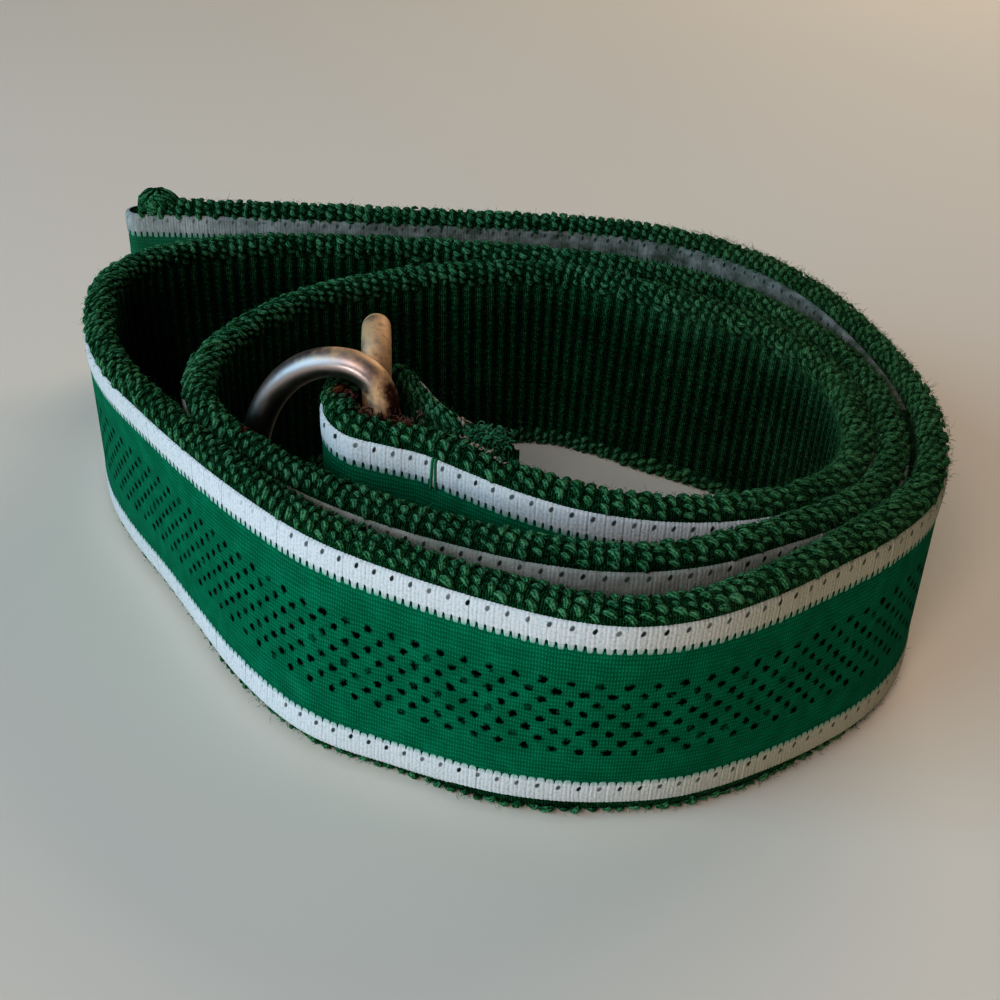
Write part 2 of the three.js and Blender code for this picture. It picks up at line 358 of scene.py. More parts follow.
def half_egg(lengthwise: tuple[float, ...], crosswise: int) -> tuple[np.ndarray, ...]:
    """Half an egg that lies on its flat side.

    Its half width at the place a along its length, from -1 to 1, is (1 - a^2)^0.4. Over it the angle b goes
    from one side to the other, with cos b to the side and sin b off the ground.

    Args:
        lengthwise: the places a, from end to end.
        crosswise: how many angles b there are.

    Returns:
        a as a column, b as a row, and over both of them how far to the side and how far raised.
    """
    a = np.array(lengthwise)[:, None]
    b = np.linspace(0, math.pi, crosswise)[None, :]
    width = np.maximum(1 - a**2, 0.0) ** 0.4
    return a, b, width * np.cos(b), width * np.sin(b)


def fibre_piece(
    name: str,
    root: np.ndarray,
    reach: np.ndarray,
    curl: np.ndarray,
    thickness: np.ndarray,
    seed: int,
    rings: int = 1,
    marks: dict[str, np.ndarray] | None = None,
) -> bpy.types.Object:
    """Makes loose fibres as thin three-sided spindles, pointed at both ends.

    A fibre is an arc that leaves its root along reach and turns by curl to a random side: root + reach
    sin(curl t) / curl + bend (1 - cos(curl t)) / curl. Its radius is thickness (4 t (1 - t))^0.5, and it
    stays above the ground.

    Args:
        name: the piece's name.
        root: where each fibre starts, in millimetres.
        reach: where it heads, as long as the fibre.
        curl: the angle that it turns by, in radians.
        thickness: its radius.
        seed: the start of the random sides.
        rings: how many rings of three vertices it has between its ends.
        marks: a number for each fibre under each name, kept as mesh attributes.

    Returns:
        The object.
    """
    rng = np.random.default_rng(seed)
    count = len(root)
    flat = np.cross(reach, rng.normal(0, 1, (count, 3)))
    flat = (flat / np.linalg.norm(flat, axis=1)[:, None])[:, None]
    bend = np.cross(flat, reach[:, None])
    t = np.linspace(0, 1, rings + 2)[None, :, None]
    turn = curl[:, None, None]
    middle = root[:, None] + (np.sin(turn * t) * reach[:, None] + (1 - np.cos(turn * t)) * bend) / turn
    heading = np.cos(turn * t) * reach[:, None] + np.sin(turn * t) * bend
    side = np.cross(heading, flat)
    side = (side / np.linalg.norm(side, axis=-1)[..., None])[:, 1:-1, None]
    swing = np.linspace(0, TAU, 3, endpoint=False)[:, None]
    ring = np.cos(swing) * flat[:, :, None] + np.sin(swing) * side
    radius = (thickness[:, None, None] * np.sqrt(4 * t * (1 - t)))[:, 1:-1, :, None]
    body = (middle[:, 1:-1, None] + radius * ring).reshape(count, -1, 3)
    points = np.concatenate([middle[:, :1], body, middle[:, -1:]], axis=1)
    points[..., 2] = np.maximum(points[..., 2], GROUND_GAP)
    spread = {mark: values[:, None] for mark, values in (marks or {}).items()}
    return mesh_piece(name, points, many_faces(count, 3 * rings + 2, spindle_faces(rings)), marks=spread)


class StrapRoute:
    """The strap's centre line, as arrays over its length in millimetres."""

    SAMPLES_PER_ROW = 60

    def __init__(self) -> None:
        """Smooths the rows with a centripetal Catmull-Rom curve and measures the length along it."""
        rows = np.array(ROUTE_ROWS, dtype=float)
        place = self._curve(rows[:, [0, 1, 3]], power=0.5)
        self.foot = self._curve(rows[:, [2, 2, 2]], power=0.0)[:, 0]
        self.centre = place[:, :2] + ROUTE_ORIGIN
        self.lift = np.maximum(place[:, 2], 0)
        step = np.diff(self.centre, axis=0)
        self.along = np.concatenate([[0], np.cumsum(np.hypot(step[:, 0], step[:, 1]))])
        slope = np.gradient(self.centre, self.along, axis=0)
        self.heading = np.unwrap(np.arctan2(slope[:, 1], slope[:, 0]))
        self.length = float(self.along[-1])

    def _curve(self, knots: np.ndarray, power: float) -> np.ndarray:
        """Points of a Catmull-Rom curve through the knots.

        Between two knots the curve is the cubic that has their places and, at each, a slope from the three
        nearest knots, with the knots spaced by their distance to the given power.

        Args:
            knots: one row for each knot.
            power: 0.5 for the centripetal form, 0 for evenly spaced knots.

        Returns:
            The sampled points, one row each.
        """
        padded = np.vstack([2 * knots[0] - knots[1], knots, 2 * knots[-1] - knots[-2]])
        gap = np.linalg.norm(np.diff(padded, axis=0), axis=1) ** power if power else np.ones(len(padded) - 1)
        before, p0, p1, after = (padded[k : len(padded) - 3 + k] for k in range(4))
        g0, g1, g2 = (gap[k : len(gap) - 2 + k][:, None] for k in range(3))
        leave = ((p0 - before) / g0 - (p1 - before) / (g0 + g1) + (p1 - p0) / g1) * g1
        arrive = ((p1 - p0) / g1 - (after - p0) / (g1 + g2) + (after - p1) / g2) * g1
        t = (np.arange(self.SAMPLES_PER_ROW) / self.SAMPLES_PER_ROW)[None, :, None]
        p0, p1, leave, arrive = (part[:, None] for part in (p0, p1, leave, arrive))
        cubic = 2 * p0 - 2 * p1 + leave + arrive
        square = -3 * p0 + 3 * p1 - 2 * leave - arrive
        points = ((cubic * t + square) * t + leave) * t + p0
        return np.vstack([points.reshape(-1, knots.shape[1]), knots[-1]])

    def place(
        self, along: np.ndarray, outward: Numbers, height: Numbers, turn: Numbers = 0.0
    ) -> np.ndarray:
        """Points of the strap, from their place along it, across its thickness and up its width.

        The point is the centre line, plus the outward direction times (outward + foot (1 - height / width)),
        plus the height over the strap's lifted lower edge.

        Args:
            along: distance along the centre line.
            outward: distance from the centre line, positive on the outward face.
            height: height over the strap's lower edge.
            turn: how far the outward distance is turned from the outward side, towards the strap's end.

        Returns:
            The points, with x, y and z last.
        """
        along, outward, height, turn = np.broadcast_arrays(along, outward, height, turn)
        x, y, foot, lift, heading = (
            np.interp(along, self.along, values)
            for values in (self.centre[:, 0], self.centre[:, 1], self.foot, self.lift, self.heading)
        )
        angle = heading - math.pi / 2
        lean = foot * (1 - height / WEBBING_WIDTH)
        x = x + np.cos(angle) * lean + np.cos(angle + turn) * outward
        y = y + np.sin(angle) * lean + np.sin(angle + turn) * outward
        return np.stack([x, y, lift + height], axis=-1)


class RibbonRoute:
    """The ribbon's way along the outward face, round the strap's tip and back on the inward face."""

    TIP_RADIUS = 2.05
    # The ribbon's hidden end is where the strap last comes right of this x and in front of this y
    END_X = 0.0
    END_Y = -6.0

    def __init__(self, strap: StrapRoute) -> None:
        """Finds where the ribbon's inward run ends, as the part's own source does.

        Args:
            strap: the route of the strap that it lies on.
        """
        self.strap = strap
        self.tip_length = math.pi * self.TIP_RADIUS
        local = strap.centre - ROUTE_ORIGIN
        ends = np.nonzero((local[:, 0] > self.END_X) & (local[:, 1] < self.END_Y))[0]
        self.length = strap.length + self.tip_length + strap.length - float(strap.along[ends[-1]])

    def place(self, along: np.ndarray, outward: np.ndarray, height: np.ndarray) -> np.ndarray:
        """Points of the ribbon: on the strap's route up to its end, turned round the end, then back.

        Args:
            along: distance along the ribbon from its cut end.
            outward: distance from the strap's centre line.
            height: height over the strap's lower edge.

        Returns:
            The points, with x, y and z last.
        """
        past_tip = along - self.strap.length
        turn = np.clip(past_tip / self.TIP_RADIUS, 0, math.pi)
        back = np.maximum(past_tip - self.tip_length, 0)
        return self.strap.place(np.minimum(along, self.strap.length) - back, outward, height, turn)


@dataclass(frozen=True)
class Finish:
    """A real material. Each kind lays out its own nodes and says what the surface shader gets from them."""

    name: str

    def surface(self, tree: Tree) -> dict:
        """The surface shader's inputs, by name."""
        raise NotImplementedError

    def material(self) -> bpy.types.Material:
        """Makes the material: this kind's nodes, the surface shader and the output.

        Returns:
            The material.
        """
        made = bpy.data.materials.new(self.name)
        made.use_nodes = True
        made.node_tree.nodes.clear()
        shader = add_node(made.node_tree, "BsdfPrincipled", self.surface(made.node_tree))
        add_node(made.node_tree, "OutputMaterial", {"Surface": shader})
        return made


@dataclass(frozen=True)
class CottonYarn(Finish):
    """Spun cotton yarn, knitted and woven thick.

    To the eye it is matte, with fine filaments along the loops. The filaments are drawn coarser than real
    ones, so that they show. Its colour carries painted shade, nearly black in the gaps and between the
    stitches, and a painted highlight on the back of each loop.
    """

    name: str = "green_cotton_webbing"
    # The ramp's tones, from painted shade in the gaps to the painted highlight on the loops' backs
    shade: str = "#031a0b"
    deep: str = "#0b381d"
    body: str = "#27613f"
    light: str = "#6aa179"
    # Painted warm light: the olive that tints the loops' backs on the right of the coil
    warm_lit: str = "#6c8450"
    rust_dark: str = "#3a0f0b"
    rust_light: str = "#8a5f45"
    # Where along x the painted warm light grows, and its share at most
    warm_lit_from_mm: float = 18.0
    warm_lit_to_mm: float = 50.0
    warm_lit_share: float = 0.46
    rib_step_mm: float = 2.06
    stitch_mm: float = 1.0
    patch_mm: float = 9.0
    clump_mm: float = 0.32
    fibre_mm: float = 0.14
    relief_mm: float = 0.16

    def surface(self, tree: Tree) -> dict:
        """Paints shade and highlight into the yarn by how raised it is.

        It reads four attributes: "crown" (0 in the gaps, 1 on a loop's back), "strand" (counts the filaments
        across a loop), "knit" (1 where the flat rows of stitches show) and "rust".

        Args:
            tree: the material's node tree.

        Returns:
            The surface shader's inputs.
        """
        where = add_node(tree, "TexCoord", output="Object")
        weave = add_node(tree, "UVMap", uv_map="weave")
        crown, rust, strand, knit = (
            add_node(tree, "Attribute", output="Fac", attribute_name=mark)
            for mark in ("crown", "rust", "strand", "knit")
        )
        grain = {"Vector": where, "Detail": 3.0, "Roughness": 0.65}
        clumps, fibres, patches = (
            add_node(tree, "TexNoise", {**grain, "Scale": 1 / (size * MM)})
            for size in (self.clump_mm, self.fibre_mm, self.patch_mm)
        )
        turns = add_node(tree, "Math", {0: strand, 1: TAU}, operation="MULTIPLY")
        filament = add_node(tree, "Math", {0: turns}, operation="SINE")
        grid = {0: weave, 1: (1 / self.rib_step_mm, 1 / self.stitch_mm, 0.0), 2: (-0.5, 0.0, 0.0)}
        grid = add_node(tree, "VectorMath", grid, operation="MULTIPLY_ADD")
        stitch = {"Vector": grid, "Scale": 1.0, "Randomness": 0.3}
        stitch = add_node(tree, "TexVoronoi", stitch, voronoi_dimensions="2D")
        # Painted shade between the stitches: the yarn is darker away from each stitch's middle
        gap = add_node(tree, "Math", {0: stitch, 1: knit}, operation="MULTIPLY")
        tone = add_node(tree, "Math", {0: clumps, 1: 2.0, 2: -1.0}, operation="MULTIPLY_ADD")
        relief = add_node(tree, "Math", {0: clumps, 1: 1.6, 2: fibres}, operation="MULTIPLY_ADD")
        for part, weight in ((filament, 0.2), (gap, -0.35), (patches, 0.5)):
            tone = add_node(tree, "Math", {0: part, 1: weight, 2: tone}, operation="MULTIPLY_ADD")
        for part, weight in ((filament, 0.25), (gap, -1.5)):
            relief = add_node(tree, "Math", {0: part, 1: weight, 2: relief}, operation="MULTIPLY_ADD")
        tone = add_node(tree, "Math", {0: tone, 1: -0.2}, operation="ADD")
        # Painted shade and highlight: the ramp runs from near black in the gaps to light on the loops' backs,
        # and the rust is lighter on them too
        raised = add_node(tree, "Math", {0: crown, 1: tone}, operation="ADD", use_clamp=True)
        cloth = add_node(tree, "ValToRGB", {"Fac": raised})
        tones = ((0.0, self.shade), (0.16, self.deep), (0.55, self.body), (1.0, self.light))
        colour_stops(cloth.node.color_ramp, *tones)
        rusty = {"Factor": raised, "A": self.rust_dark, "B": self.rust_light}
        rusty = add_node(tree, "Mix", rusty, data_type="RGBA")
        # Painted warm light: towards the right of the coil the loops' backs are tinted olive, as by a warm
        # light from the right
        side = add_node(tree, "SeparateXYZ", {0: where}, "X")
        reach = {"From Min": self.warm_lit_from_mm * MM, "From Max": self.warm_lit_to_mm * MM}
        rubbed = add_node(tree, "MapRange", {"Value": side, **reach, "To Max": self.warm_lit_share})
        rubbed = add_node(tree, "Math", {0: rubbed, 1: raised}, operation="MULTIPLY")
        warm_lit = add_node(tree, "Mix", {"Factor": rubbed, "A": cloth, "B": self.warm_lit}, data_type="RGBA")
        spread = add_node(tree, "Math", {0: rust, 1: 1.5, 2: clumps}, operation="MULTIPLY_ADD")
        spread = add_node(tree, "MapRange", {"Value": spread, "From Min": 0.9, "From Max": 1.3})
        bump = {"Strength": 0.8, "Distance": self.relief_mm * MM, "Height": relief}
        return {
            "Base Color": add_node(tree, "Mix", {"Factor": spread, "A": warm_lit, "B": rusty}, data_type="RGBA"),
            "Roughness": 0.95,
            "Specular IOR Level": 0.05,
            "Sheen Weight": 0.08,
            "Sheen Roughness": 0.4,
            "Sheen Tint": "#6fc896",
            "Normal": add_node(tree, "Bump", bump),
        }


@dataclass(frozen=True)
class OpenworkKnit(Finish):
    """Mercerised knitted tape with a band of small open holes.

    To the eye it is a clear green with fine wales and courses, a little uneven, and its holes are ragged
    dark dots, painted near black: the dark webbing that shows through them, and the shade inside them.
    """

    name: str = "green_openwork_knit"
    green: str = "#1a946e"
    green_deep: str = "#006345"
    # Painted shade in the notches between the border's teeth
    notch_shade: str = "#08492f"
    dirt: str = "#4a4a3a"
    hole: str = "#000603"
    column_mm: float = 1.5
    row_mm: float = 1.5
    rows: int = 8
    lowest_row_mm: float = 10.6
    hole_mm: float = 0.5
    wale_mm: float = 0.33
    course_mm: float = 0.6
    pull_mm: float = 1.6
    loop_mm: float = 0.45
    uneven_mm: float = 2.6
    relief_mm: float = 0.12
    border_low_mm: float = 5.6
    border_high_mm: float = 26.35

    def _hole_distance(self, tree: Tree, weave: Socket, half: float) -> Socket:
        """Distance to the nearest hole of one rectangular lattice, in hole radii.

        Every second column is shifted by one row, so the holes are two such lattices, half a cell apart.

        Args:
            tree: the material's node tree.
            weave: the place along and across the tape in millimetres.
            half: 0 for the first lattice, 0.5 for the second.

        Returns:
            The output with the distance.
        """
        cell = (2 * self.column_mm, 2 * self.row_mm, 1.0)
        steps = (
            ("SUBTRACT", (0.0, self.lowest_row_mm, 0.0)),
            ("DIVIDE", cell),
            ("ADD", (half + 0.5, half + 0.5, 0.0)),
            ("FRACTION", (0.0, 0.0, 0.0)),
            ("SUBTRACT", (0.5, 0.5, 0.0)),
            ("MULTIPLY", (cell[0] / self.hole_mm, cell[1] / self.hole_mm, 0.0)),
        )
        for operation, other in steps:
            weave = add_node(tree, "VectorMath", {0: weave, 1: other}, operation=operation)
        return add_node(tree, "VectorMath", {0: weave}, operation="LENGTH")

    def surface(self, tree: Tree) -> dict:
        """Draws the knit, its holes and its dirt. It reads the UV map "weave" and the attribute "soil".

        Args:
            tree: the material's node tree.

        Returns:
            The surface shader's inputs.
        """
        weave = add_node(tree, "UVMap", uv_map="weave")
        where = add_node(tree, "TexCoord", output="Object")
        soil = add_node(tree, "Attribute", output="Fac", attribute_name="soil")
        height = add_node(tree, "SeparateXYZ", {0: weave}, "Y")
        # The tape is pulled out of true, and loose loops at each hole's rim make it ragged
        wobble, rim = (
            add_node(tree, "TexNoise", {"Vector": where, "Scale": 1 / (size * MM), "Detail": detail}, "Color")
            for size, detail in ((self.pull_mm, 2.0), (self.loop_mm, 1.0))
        )
        pulled = weave
        for noise, share in ((wobble, (0.7, 0.5, 0.0)), (rim, (0.75, 0.75, 0.0))):
            shift = add_node(tree, "VectorMath", {0: noise, 1: (0.5, 0.5, 0.5)}, operation="SUBTRACT")
            pulled = add_node(tree, "VectorMath", {0: shift, 1: share, 2: pulled}, operation="MULTIPLY_ADD")
        near = {k: self._hole_distance(tree, pulled, half) for k, half in enumerate((0.0, 0.5))}
        near = {"Value": add_node(tree, "Math", near, operation="MINIMUM"), "From Min": 1.3, "From Max": 0.6}
        # The holes are painted near black, for the dark webbing under them and the shade inside them
        hole = add_node(tree, "MapRange", near, interpolation_type="SMOOTHSTEP")
        low = self.lowest_row_mm - 0.5 * self.row_mm
        over = add_node(tree, "Math", {0: height, 1: low}, operation="GREATER_THAN")
        under = add_node(tree, "Math", {0: height, 1: low + self.rows * self.row_mm}, operation="LESS_THAN")
        band = add_node(tree, "Math", {0: over, 1: under}, operation="MULTIPLY")
        clogged = {"Value": wobble.node.outputs["Fac"], "From Min": 0.32, "From Max": 0.46, "To Min": 0.45}
        for limit in (band, add_node(tree, "MapRange", clogged)):
            hole = add_node(tree, "Math", {0: hole, 1: limit}, operation="MULTIPLY")
        wales, courses = (
            add_node(
                tree,
                "TexWave",
                {"Vector": weave, "Scale": WAVE_BAND / size, "Distortion": distortion, "Detail": 1.0},
                "Fac",
                wave_type="BANDS",
                bands_direction=direction,
            )
            for size, distortion, direction in ((self.wale_mm, 1.2, "X"), (self.course_mm, 3.0, "Y"))
        )
        knit = add_node(tree, "Math", {0: wales, 1: courses}, operation="MULTIPLY")
        # The yarn takes the dye and the light unevenly over a few stitches
        uneven = {"Vector": where, "Scale": 1 / (self.uneven_mm * MM), "Detail": 3.0}
        uneven = add_node(tree, "TexNoise", uneven)
        tone = add_node(tree, "Math", {0: uneven, 1: 0.9, 2: -0.42}, operation="MULTIPLY_ADD")
        tone = add_node(tree, "Math", {0: knit, 1: 0.85, 2: tone}, operation="MULTIPLY_ADD", use_clamp=True)
        # Painted shade: the tape is darker green under the borders, where it shows in the notches between the
        # teeth
        low_border = add_node(tree, "Math", {0: height, 1: self.border_low_mm}, operation="LESS_THAN")
        high_border = add_node(tree, "Math", {0: height, 1: self.border_high_mm}, operation="GREATER_THAN")
        border = add_node(tree, "Math", {0: low_border, 1: high_border}, operation="MAXIMUM")
        dirty = add_node(tree, "Math", {0: soil, 1: 0.45}, operation="MULTIPLY")
        colour = self.green_deep
        layers = ((tone, self.green), (border, self.notch_shade), (dirty, self.dirt), (hole, self.hole))
        for share, layer in layers:
            colour = add_node(tree, "Mix", {"Factor": share, "A": colour, "B": layer}, data_type="RGBA")
        depth = add_node(tree, "Math", {0: hole, 1: -4.0, 2: knit}, operation="MULTIPLY_ADD")
        bump = {"Strength": 0.6, "Distance": self.relief_mm * MM, "Height": depth}
        return {
            "Base Color": colour,
            "Roughness": 0.75,
            "Specular IOR Level": 0.02,
            "Sheen Weight": 0.02,
            "Sheen Roughness": 0.4,
            "Sheen Tint": "#30c896",
            "Normal": add_node(tree, "Bump", bump),
        }


@dataclass(frozen=True)
class WhiteYarn(Finish):
    """White crochet-knit yarn of the borders.

    To the eye it is clean and bright in front, grey or brown where it is worn and dirty, and cream along
    some stretches, with a row of slanting holes along it.
    """

    name: str = "white_border_yarn"
    clean: str = "#e4e0e0"
    cream: str = "#c4b594"
    grime: str = "#574f46"
    hole: str = "#0b1a12"
    seat: str = "#4f9a80"
    dot_step_mm: float = 2.3
    dot_radius_mm: float = 0.24
    dot_slant: float = 0.25
    blotch_mm: float = 3.0
    stitch_mm: float = 0.4
    loop_mm: float = 0.28
    relief_mm: float = 0.1

    def _dots(self, tree: Tree, weave: Socket, up: Socket, opened: Socket) -> Socket:
        """Draws the border's row of holes: each is a slanting slot, and the yarn half closes some.

        Args:
            tree: the material's node tree.
            weave: the place along and across the tape in millimetres.
            up: the height over the row of holes.
            opened: how open the holes are on this part of the ribbon.

        Returns:
            The output with 1 in an open hole and 0 off it.
        """
        step = (1 / self.dot_step_mm, 0.0, 0.0)
        along = add_node(tree, "VectorMath", {0: weave, 1: step}, operation="MULTIPLY")
        middle = add_node(tree, "VectorMath", {0: along}, operation="FRACTION")
        middle = add_node(tree, "VectorMath", {0: middle, 1: (0.5, 0.0, 0.0)}, operation="SUBTRACT")
        across = add_node(tree, "SeparateXYZ", {0: middle}, "X")
        lean = add_node(tree, "Math", {0: up, 1: -self.dot_slant}, operation="MULTIPLY")
        across = add_node(tree, "Math", {0: across, 1: self.dot_step_mm, 2: lean}, operation="MULTIPLY_ADD")
        up = add_node(tree, "Math", {0: up, 1: 0.6}, operation="MULTIPLY")
        far = add_node(tree, "CombineXYZ", {0: across, 1: up})
        far = add_node(tree, "VectorMath", {0: far}, operation="LENGTH")
        rim = {"Value": far, "From Min": self.dot_radius_mm * 1.25, "From Max": self.dot_radius_mm * 0.7}
        dot = add_node(tree, "MapRange", rim, interpolation_type="SMOOTHSTEP")
        number = add_node(tree, "VectorMath", {0: along}, operation="FLOOR")
        number = add_node(tree, "SeparateXYZ", {0: number}, "X")
        chance = add_node(tree, "TexWhiteNoise", {"W": number}, noise_dimensions="1D")
        strength = add_node(tree, "MapRange", {"Value": chance, "To Min": 0.7})
        strength = add_node(tree, "Math", {0: strength, 1: opened}, operation="MULTIPLY")
        return add_node(tree, "Math", {0: dot, 1: strength}, operation="MULTIPLY")

    def surface(self, tree: Tree) -> dict:
        """Draws the yarn's wear, its stitches and its row of holes.

        It reads the UV map "weave" and five attributes: "soil", "cream", "open" (how open the holes are),
        "dot" (the height over the row of holes) and "tooth" (0 in the gaps between the teeth).

        Args:
            tree: the material's node tree.

        Returns:
            The surface shader's inputs.
        """
        where = add_node(tree, "TexCoord", output="Object")
        weave = add_node(tree, "UVMap", uv_map="weave")
        soil, cream, up, opened, tooth = (
            add_node(tree, "Attribute", output="Fac", attribute_name=mark)
            for mark in ("soil", "cream", "dot", "open", "tooth")
        )
        blotch, loops = (
            add_node(tree, "TexNoise", {"Vector": where, "Scale": 1 / (size * MM), **grain})
            for size, grain in (
                (self.blotch_mm, {"Detail": 4.0, "Roughness": 0.65}),
                (self.loop_mm, {"Detail": 3.0, "Roughness": 0.7}),
            )
        )
        uneven = {"Value": blotch, "From Min": 0.3, "From Max": 0.7, "To Min": 0.6, "To Max": 1.25}
        uneven = add_node(tree, "MapRange", uneven)
        dirt = add_node(tree, "Math", {0: soil, 1: uneven}, operation="MULTIPLY", use_clamp=True)
        grid = {"Vector": weave, "Scale": 1 / self.stitch_mm, "Randomness": 0.8}
        stitches = add_node(tree, "TexVoronoi", grid, voronoi_dimensions="2D")
        knitted = {"Value": stitches, "From Min": 0.3, "From Max": 0.8, "To Min": 0.0, "To Max": 0.22}
        knitted = add_node(tree, "MapRange", knitted)
        shown = add_node(tree, "Math", {0: tooth, 1: knitted}, operation="SUBTRACT", use_clamp=True)
        dots = self._dots(tree, weave, up, opened)
        colour = add_node(tree, "Mix", {"Factor": cream, "A": self.clean, "B": self.cream}, data_type="RGBA")
        colour = add_node(tree, "Mix", {"Factor": dirt, "A": colour, "B": self.grime}, data_type="RGBA")
        colour = add_node(tree, "Mix", {"Factor": shown, "A": self.seat, "B": colour}, data_type="RGBA")
        # The holes are painted near black, for the dark tape under the border and the shade inside them
        colour = add_node(tree, "Mix", {"Factor": dots, "A": colour, "B": self.hole}, data_type="RGBA")
        relief = add_node(tree, "Math", {0: stitches, 1: -1.0, 2: loops}, operation="MULTIPLY_ADD")
        bump = {"Strength": 0.45, "Distance": self.relief_mm * MM, "Height": relief}
        return {
            "Base Color": colour,
            "Roughness": 0.9,
            "Specular IOR Level": 0.1,
            "Sheen Weight": 0.1,
            "Sheen Roughness": 0.5,
            "Normal": add_node(tree, "Bump", bump),
        }


@dataclass(frozen=True)
class TarnishedSteel(Finish):
    """Nickel-plated steel wire.

    To the eye it is a soft grey mirror where use has polished it, dull tan where it has tarnished, and brown
    with rust where it meets the strap. On a bright wire's outer side near the bar the tan is a painted warm
    reflection.
    """

    name: str = "tarnished_plated_steel"
    bright: str = "#ab9c96"
    tan: str = "#e6c094"
    rust: str = "#4a2415"
    cloud_mm: float = 4.0
    spot_mm: float = 0.7
    relief_mm: float = 0.05

    def surface(self, tree: Tree) -> dict:
        """Dulls the steel where it is tarnished and paints a warm reflection on a bright wire's outer side.
        It reads the attribute "tarnish", 0 where bright.

        Args:
            tree: the material's node tree.

        Returns:
            The surface shader's inputs.
        """
        where = add_node(tree, "TexCoord", output="Object")
        # The level is the rust, the tarnish and, on a bright wire's outer side, a painted warm reflection
        level = add_node(tree, "Attribute", output="Fac", attribute_name="tarnish_and_reflection")
        cloud, spots = (
            add_node(tree, "TexNoise", {"Vector": where, "Scale": 1 / (size * MM), **grain})
            for size, grain in (
                (self.cloud_mm, {"Detail": 4.0, "Roughness": 0.6}),
                (self.spot_mm, {"Detail": 3.0, "Roughness": 0.7}),
            )
        )
        for part, weight in ((cloud, 0.6), (spots, 0.25)):
            level = add_node(tree, "Math", {0: part, 1: weight, 2: level}, operation="MULTIPLY_ADD")
        tone = add_node(tree, "ValToRGB", {"Fac": level})
        colour_stops(tone.node.color_ramp, (0.55, self.bright), (0.8, self.tan), (1.0, self.rust))
        # Tarnish and rust are not metal, and they are rougher
        metal = {"Value": level, "From Min": 0.62, "From Max": 0.85, "To Min": 1.0, "To Max": 0.15}
        rough = {"Value": level, "From Min": 0.4, "From Max": 0.9, "To Min": 0.33, "To Max": 0.7}
        bump = {"Strength": 0.15, "Distance": self.relief_mm * MM, "Height": spots}
        return {
            "Base Color": tone,
            "Metallic": add_node(tree, "MapRange", metal),
            "Roughness": add_node(tree, "MapRange", rough),
            "Normal": add_node(tree, "Bump", bump),
        }


@dataclass(frozen=True)
class FrayedYarn(Finish):
    """Loose spun thread of one colour: to the eye matte and slightly uneven."""

    dark: str
    light: str
    uneven_mm: float = 0.5

    def surface(self, tree: Tree) -> dict:
        """Colours the yarn by a fine noise between the two tones.

        Args:
            tree: the material's node tree.

        Returns:
            The surface shader's inputs.
        """
        where = add_node(tree, "TexCoord", output="Object")
        noise = {"Vector": where, "Scale": 1 / (self.uneven_mm * MM), "Detail": 2.0}
        noise = add_node(tree, "TexNoise", noise)
        colour = add_node(tree, "Mix", {"Factor": noise, "A": self.dark, "B": self.light}, data_type="RGBA")
        return {"Base Color": colour, "Roughness": 0.85, "Sheen Weight": 0.2}


@dataclass(frozen=True)
class PaleCard(Finish):
    """Smooth uncoated card under the belt: to the eye an even, warm, nearly matte ground."""

    name: str = "pale_card"
    colour: str = "#f3e9d9"

    def surface(self, tree: Tree) -> dict:
        """The shader's inputs, all plain values."""
        return {"Base Color": self.colour, "Roughness": 0.7, "Specular IOR Level": 0.3}


@dataclass(frozen=True)
class RustStains:
    """Rust that has run from the ring wires into the yarn around them."""

    # Each spot's centre in the part's frame and its radius, in millimetres
    spots: tuple[Quadruple, ...] = (
        (-16.4, -20.4, 36.0, 1.6),
        (-11.8, -24.8, 36.0, 2.2),
        (-8.0, -26.0, 36.0, 2.2),
        (-28.3, -23.0, 31.5, 1.3),
    )

    def amount(self, points: np.ndarray) -> np.ndarray:
        """How rusty each point is: the sum over the spots of exp(-(distance / radius)^2), at most 1.

        Args:
            points: the points in millimetres, with x, y and z last.

        Returns:
            A number from 0 to 1 for each.
        """
        total = np.zeros(points.shape[:-1])
        for *centre, radius in self.spots:
            distance = np.linalg.norm(points - np.array(centre), axis=-1)
            total += np.exp(-((distance / radius) ** 2))
        return np.minimum(total, 1)


@dataclass(frozen=True)
class EdgeOutline:
    """The outline of the strap's rolled edge in millimetres, measured along it from the middle of its top."""

    edge: Edge
    outward_half: float = 2.45
    inward_half: float = 1.9
    rise: float = 1.6
    skirt: float = 1.4
    # Where it comes back to the flat inward face, as offset and height
    inward_face: tuple[tuple[float, float], ...] = ((-1.6, 29.3), (-1.42, 28.2), (-1.38, 26.0))

    def _points(self) -> tuple[np.ndarray, np.ndarray, np.ndarray]:
        """The outline's points.

        It runs straight up the ribbon's side of the strap, over the top in two quarter ellipses, and down
        the inward face.

        Returns:
            The distance, offset and height of each point.
        """
        swing = np.radians(np.linspace(0, 185, 75))
        half = np.where(swing < math.pi / 2, self.outward_half, self.inward_half)
        shoulder = WEBBING_WIDTH - self.rise
        inward = np.array(self.inward_face).T
        offset = np.concatenate([[self.outward_half], half * np.cos(swing), inward[0]])
        height = np.concatenate([[shoulder - self.skirt], shoulder + self.rise * np.sin(swing), inward[1]])
        distance = np.concatenate([[0], np.cumsum(np.hypot(np.diff(offset), np.diff(height)))])
        top = np.interp(math.radians(90), swing, distance[1 : len(swing) + 1])
        return distance - top, offset, height

    def place(self, distance: np.ndarray, lift: Numbers) -> tuple[np.ndarray, np.ndarray]:
        """Offset and height of a point lifted off the outline along its normal.

        Args:
            distance: how far round the outline, negative on the outward side.
            lift: how far off the outline.

        Returns:
            The offset from the centre line and the height over the lower edge.
        """
        along, offset, height = self._points()
        slope_offset = np.interp(distance, along, np.gradient(offset, along))
        slope_height = np.interp(distance, along, np.gradient(height, along))
        size = np.hypot(slope_offset, slope_height)
        out = np.interp(distance, along, offset) + lift * slope_height / size
        up = np.interp(distance, along, height) - lift * slope_offset / size
        return out, (up if self.edge is Edge.TOP else WEBBING_WIDTH - up)


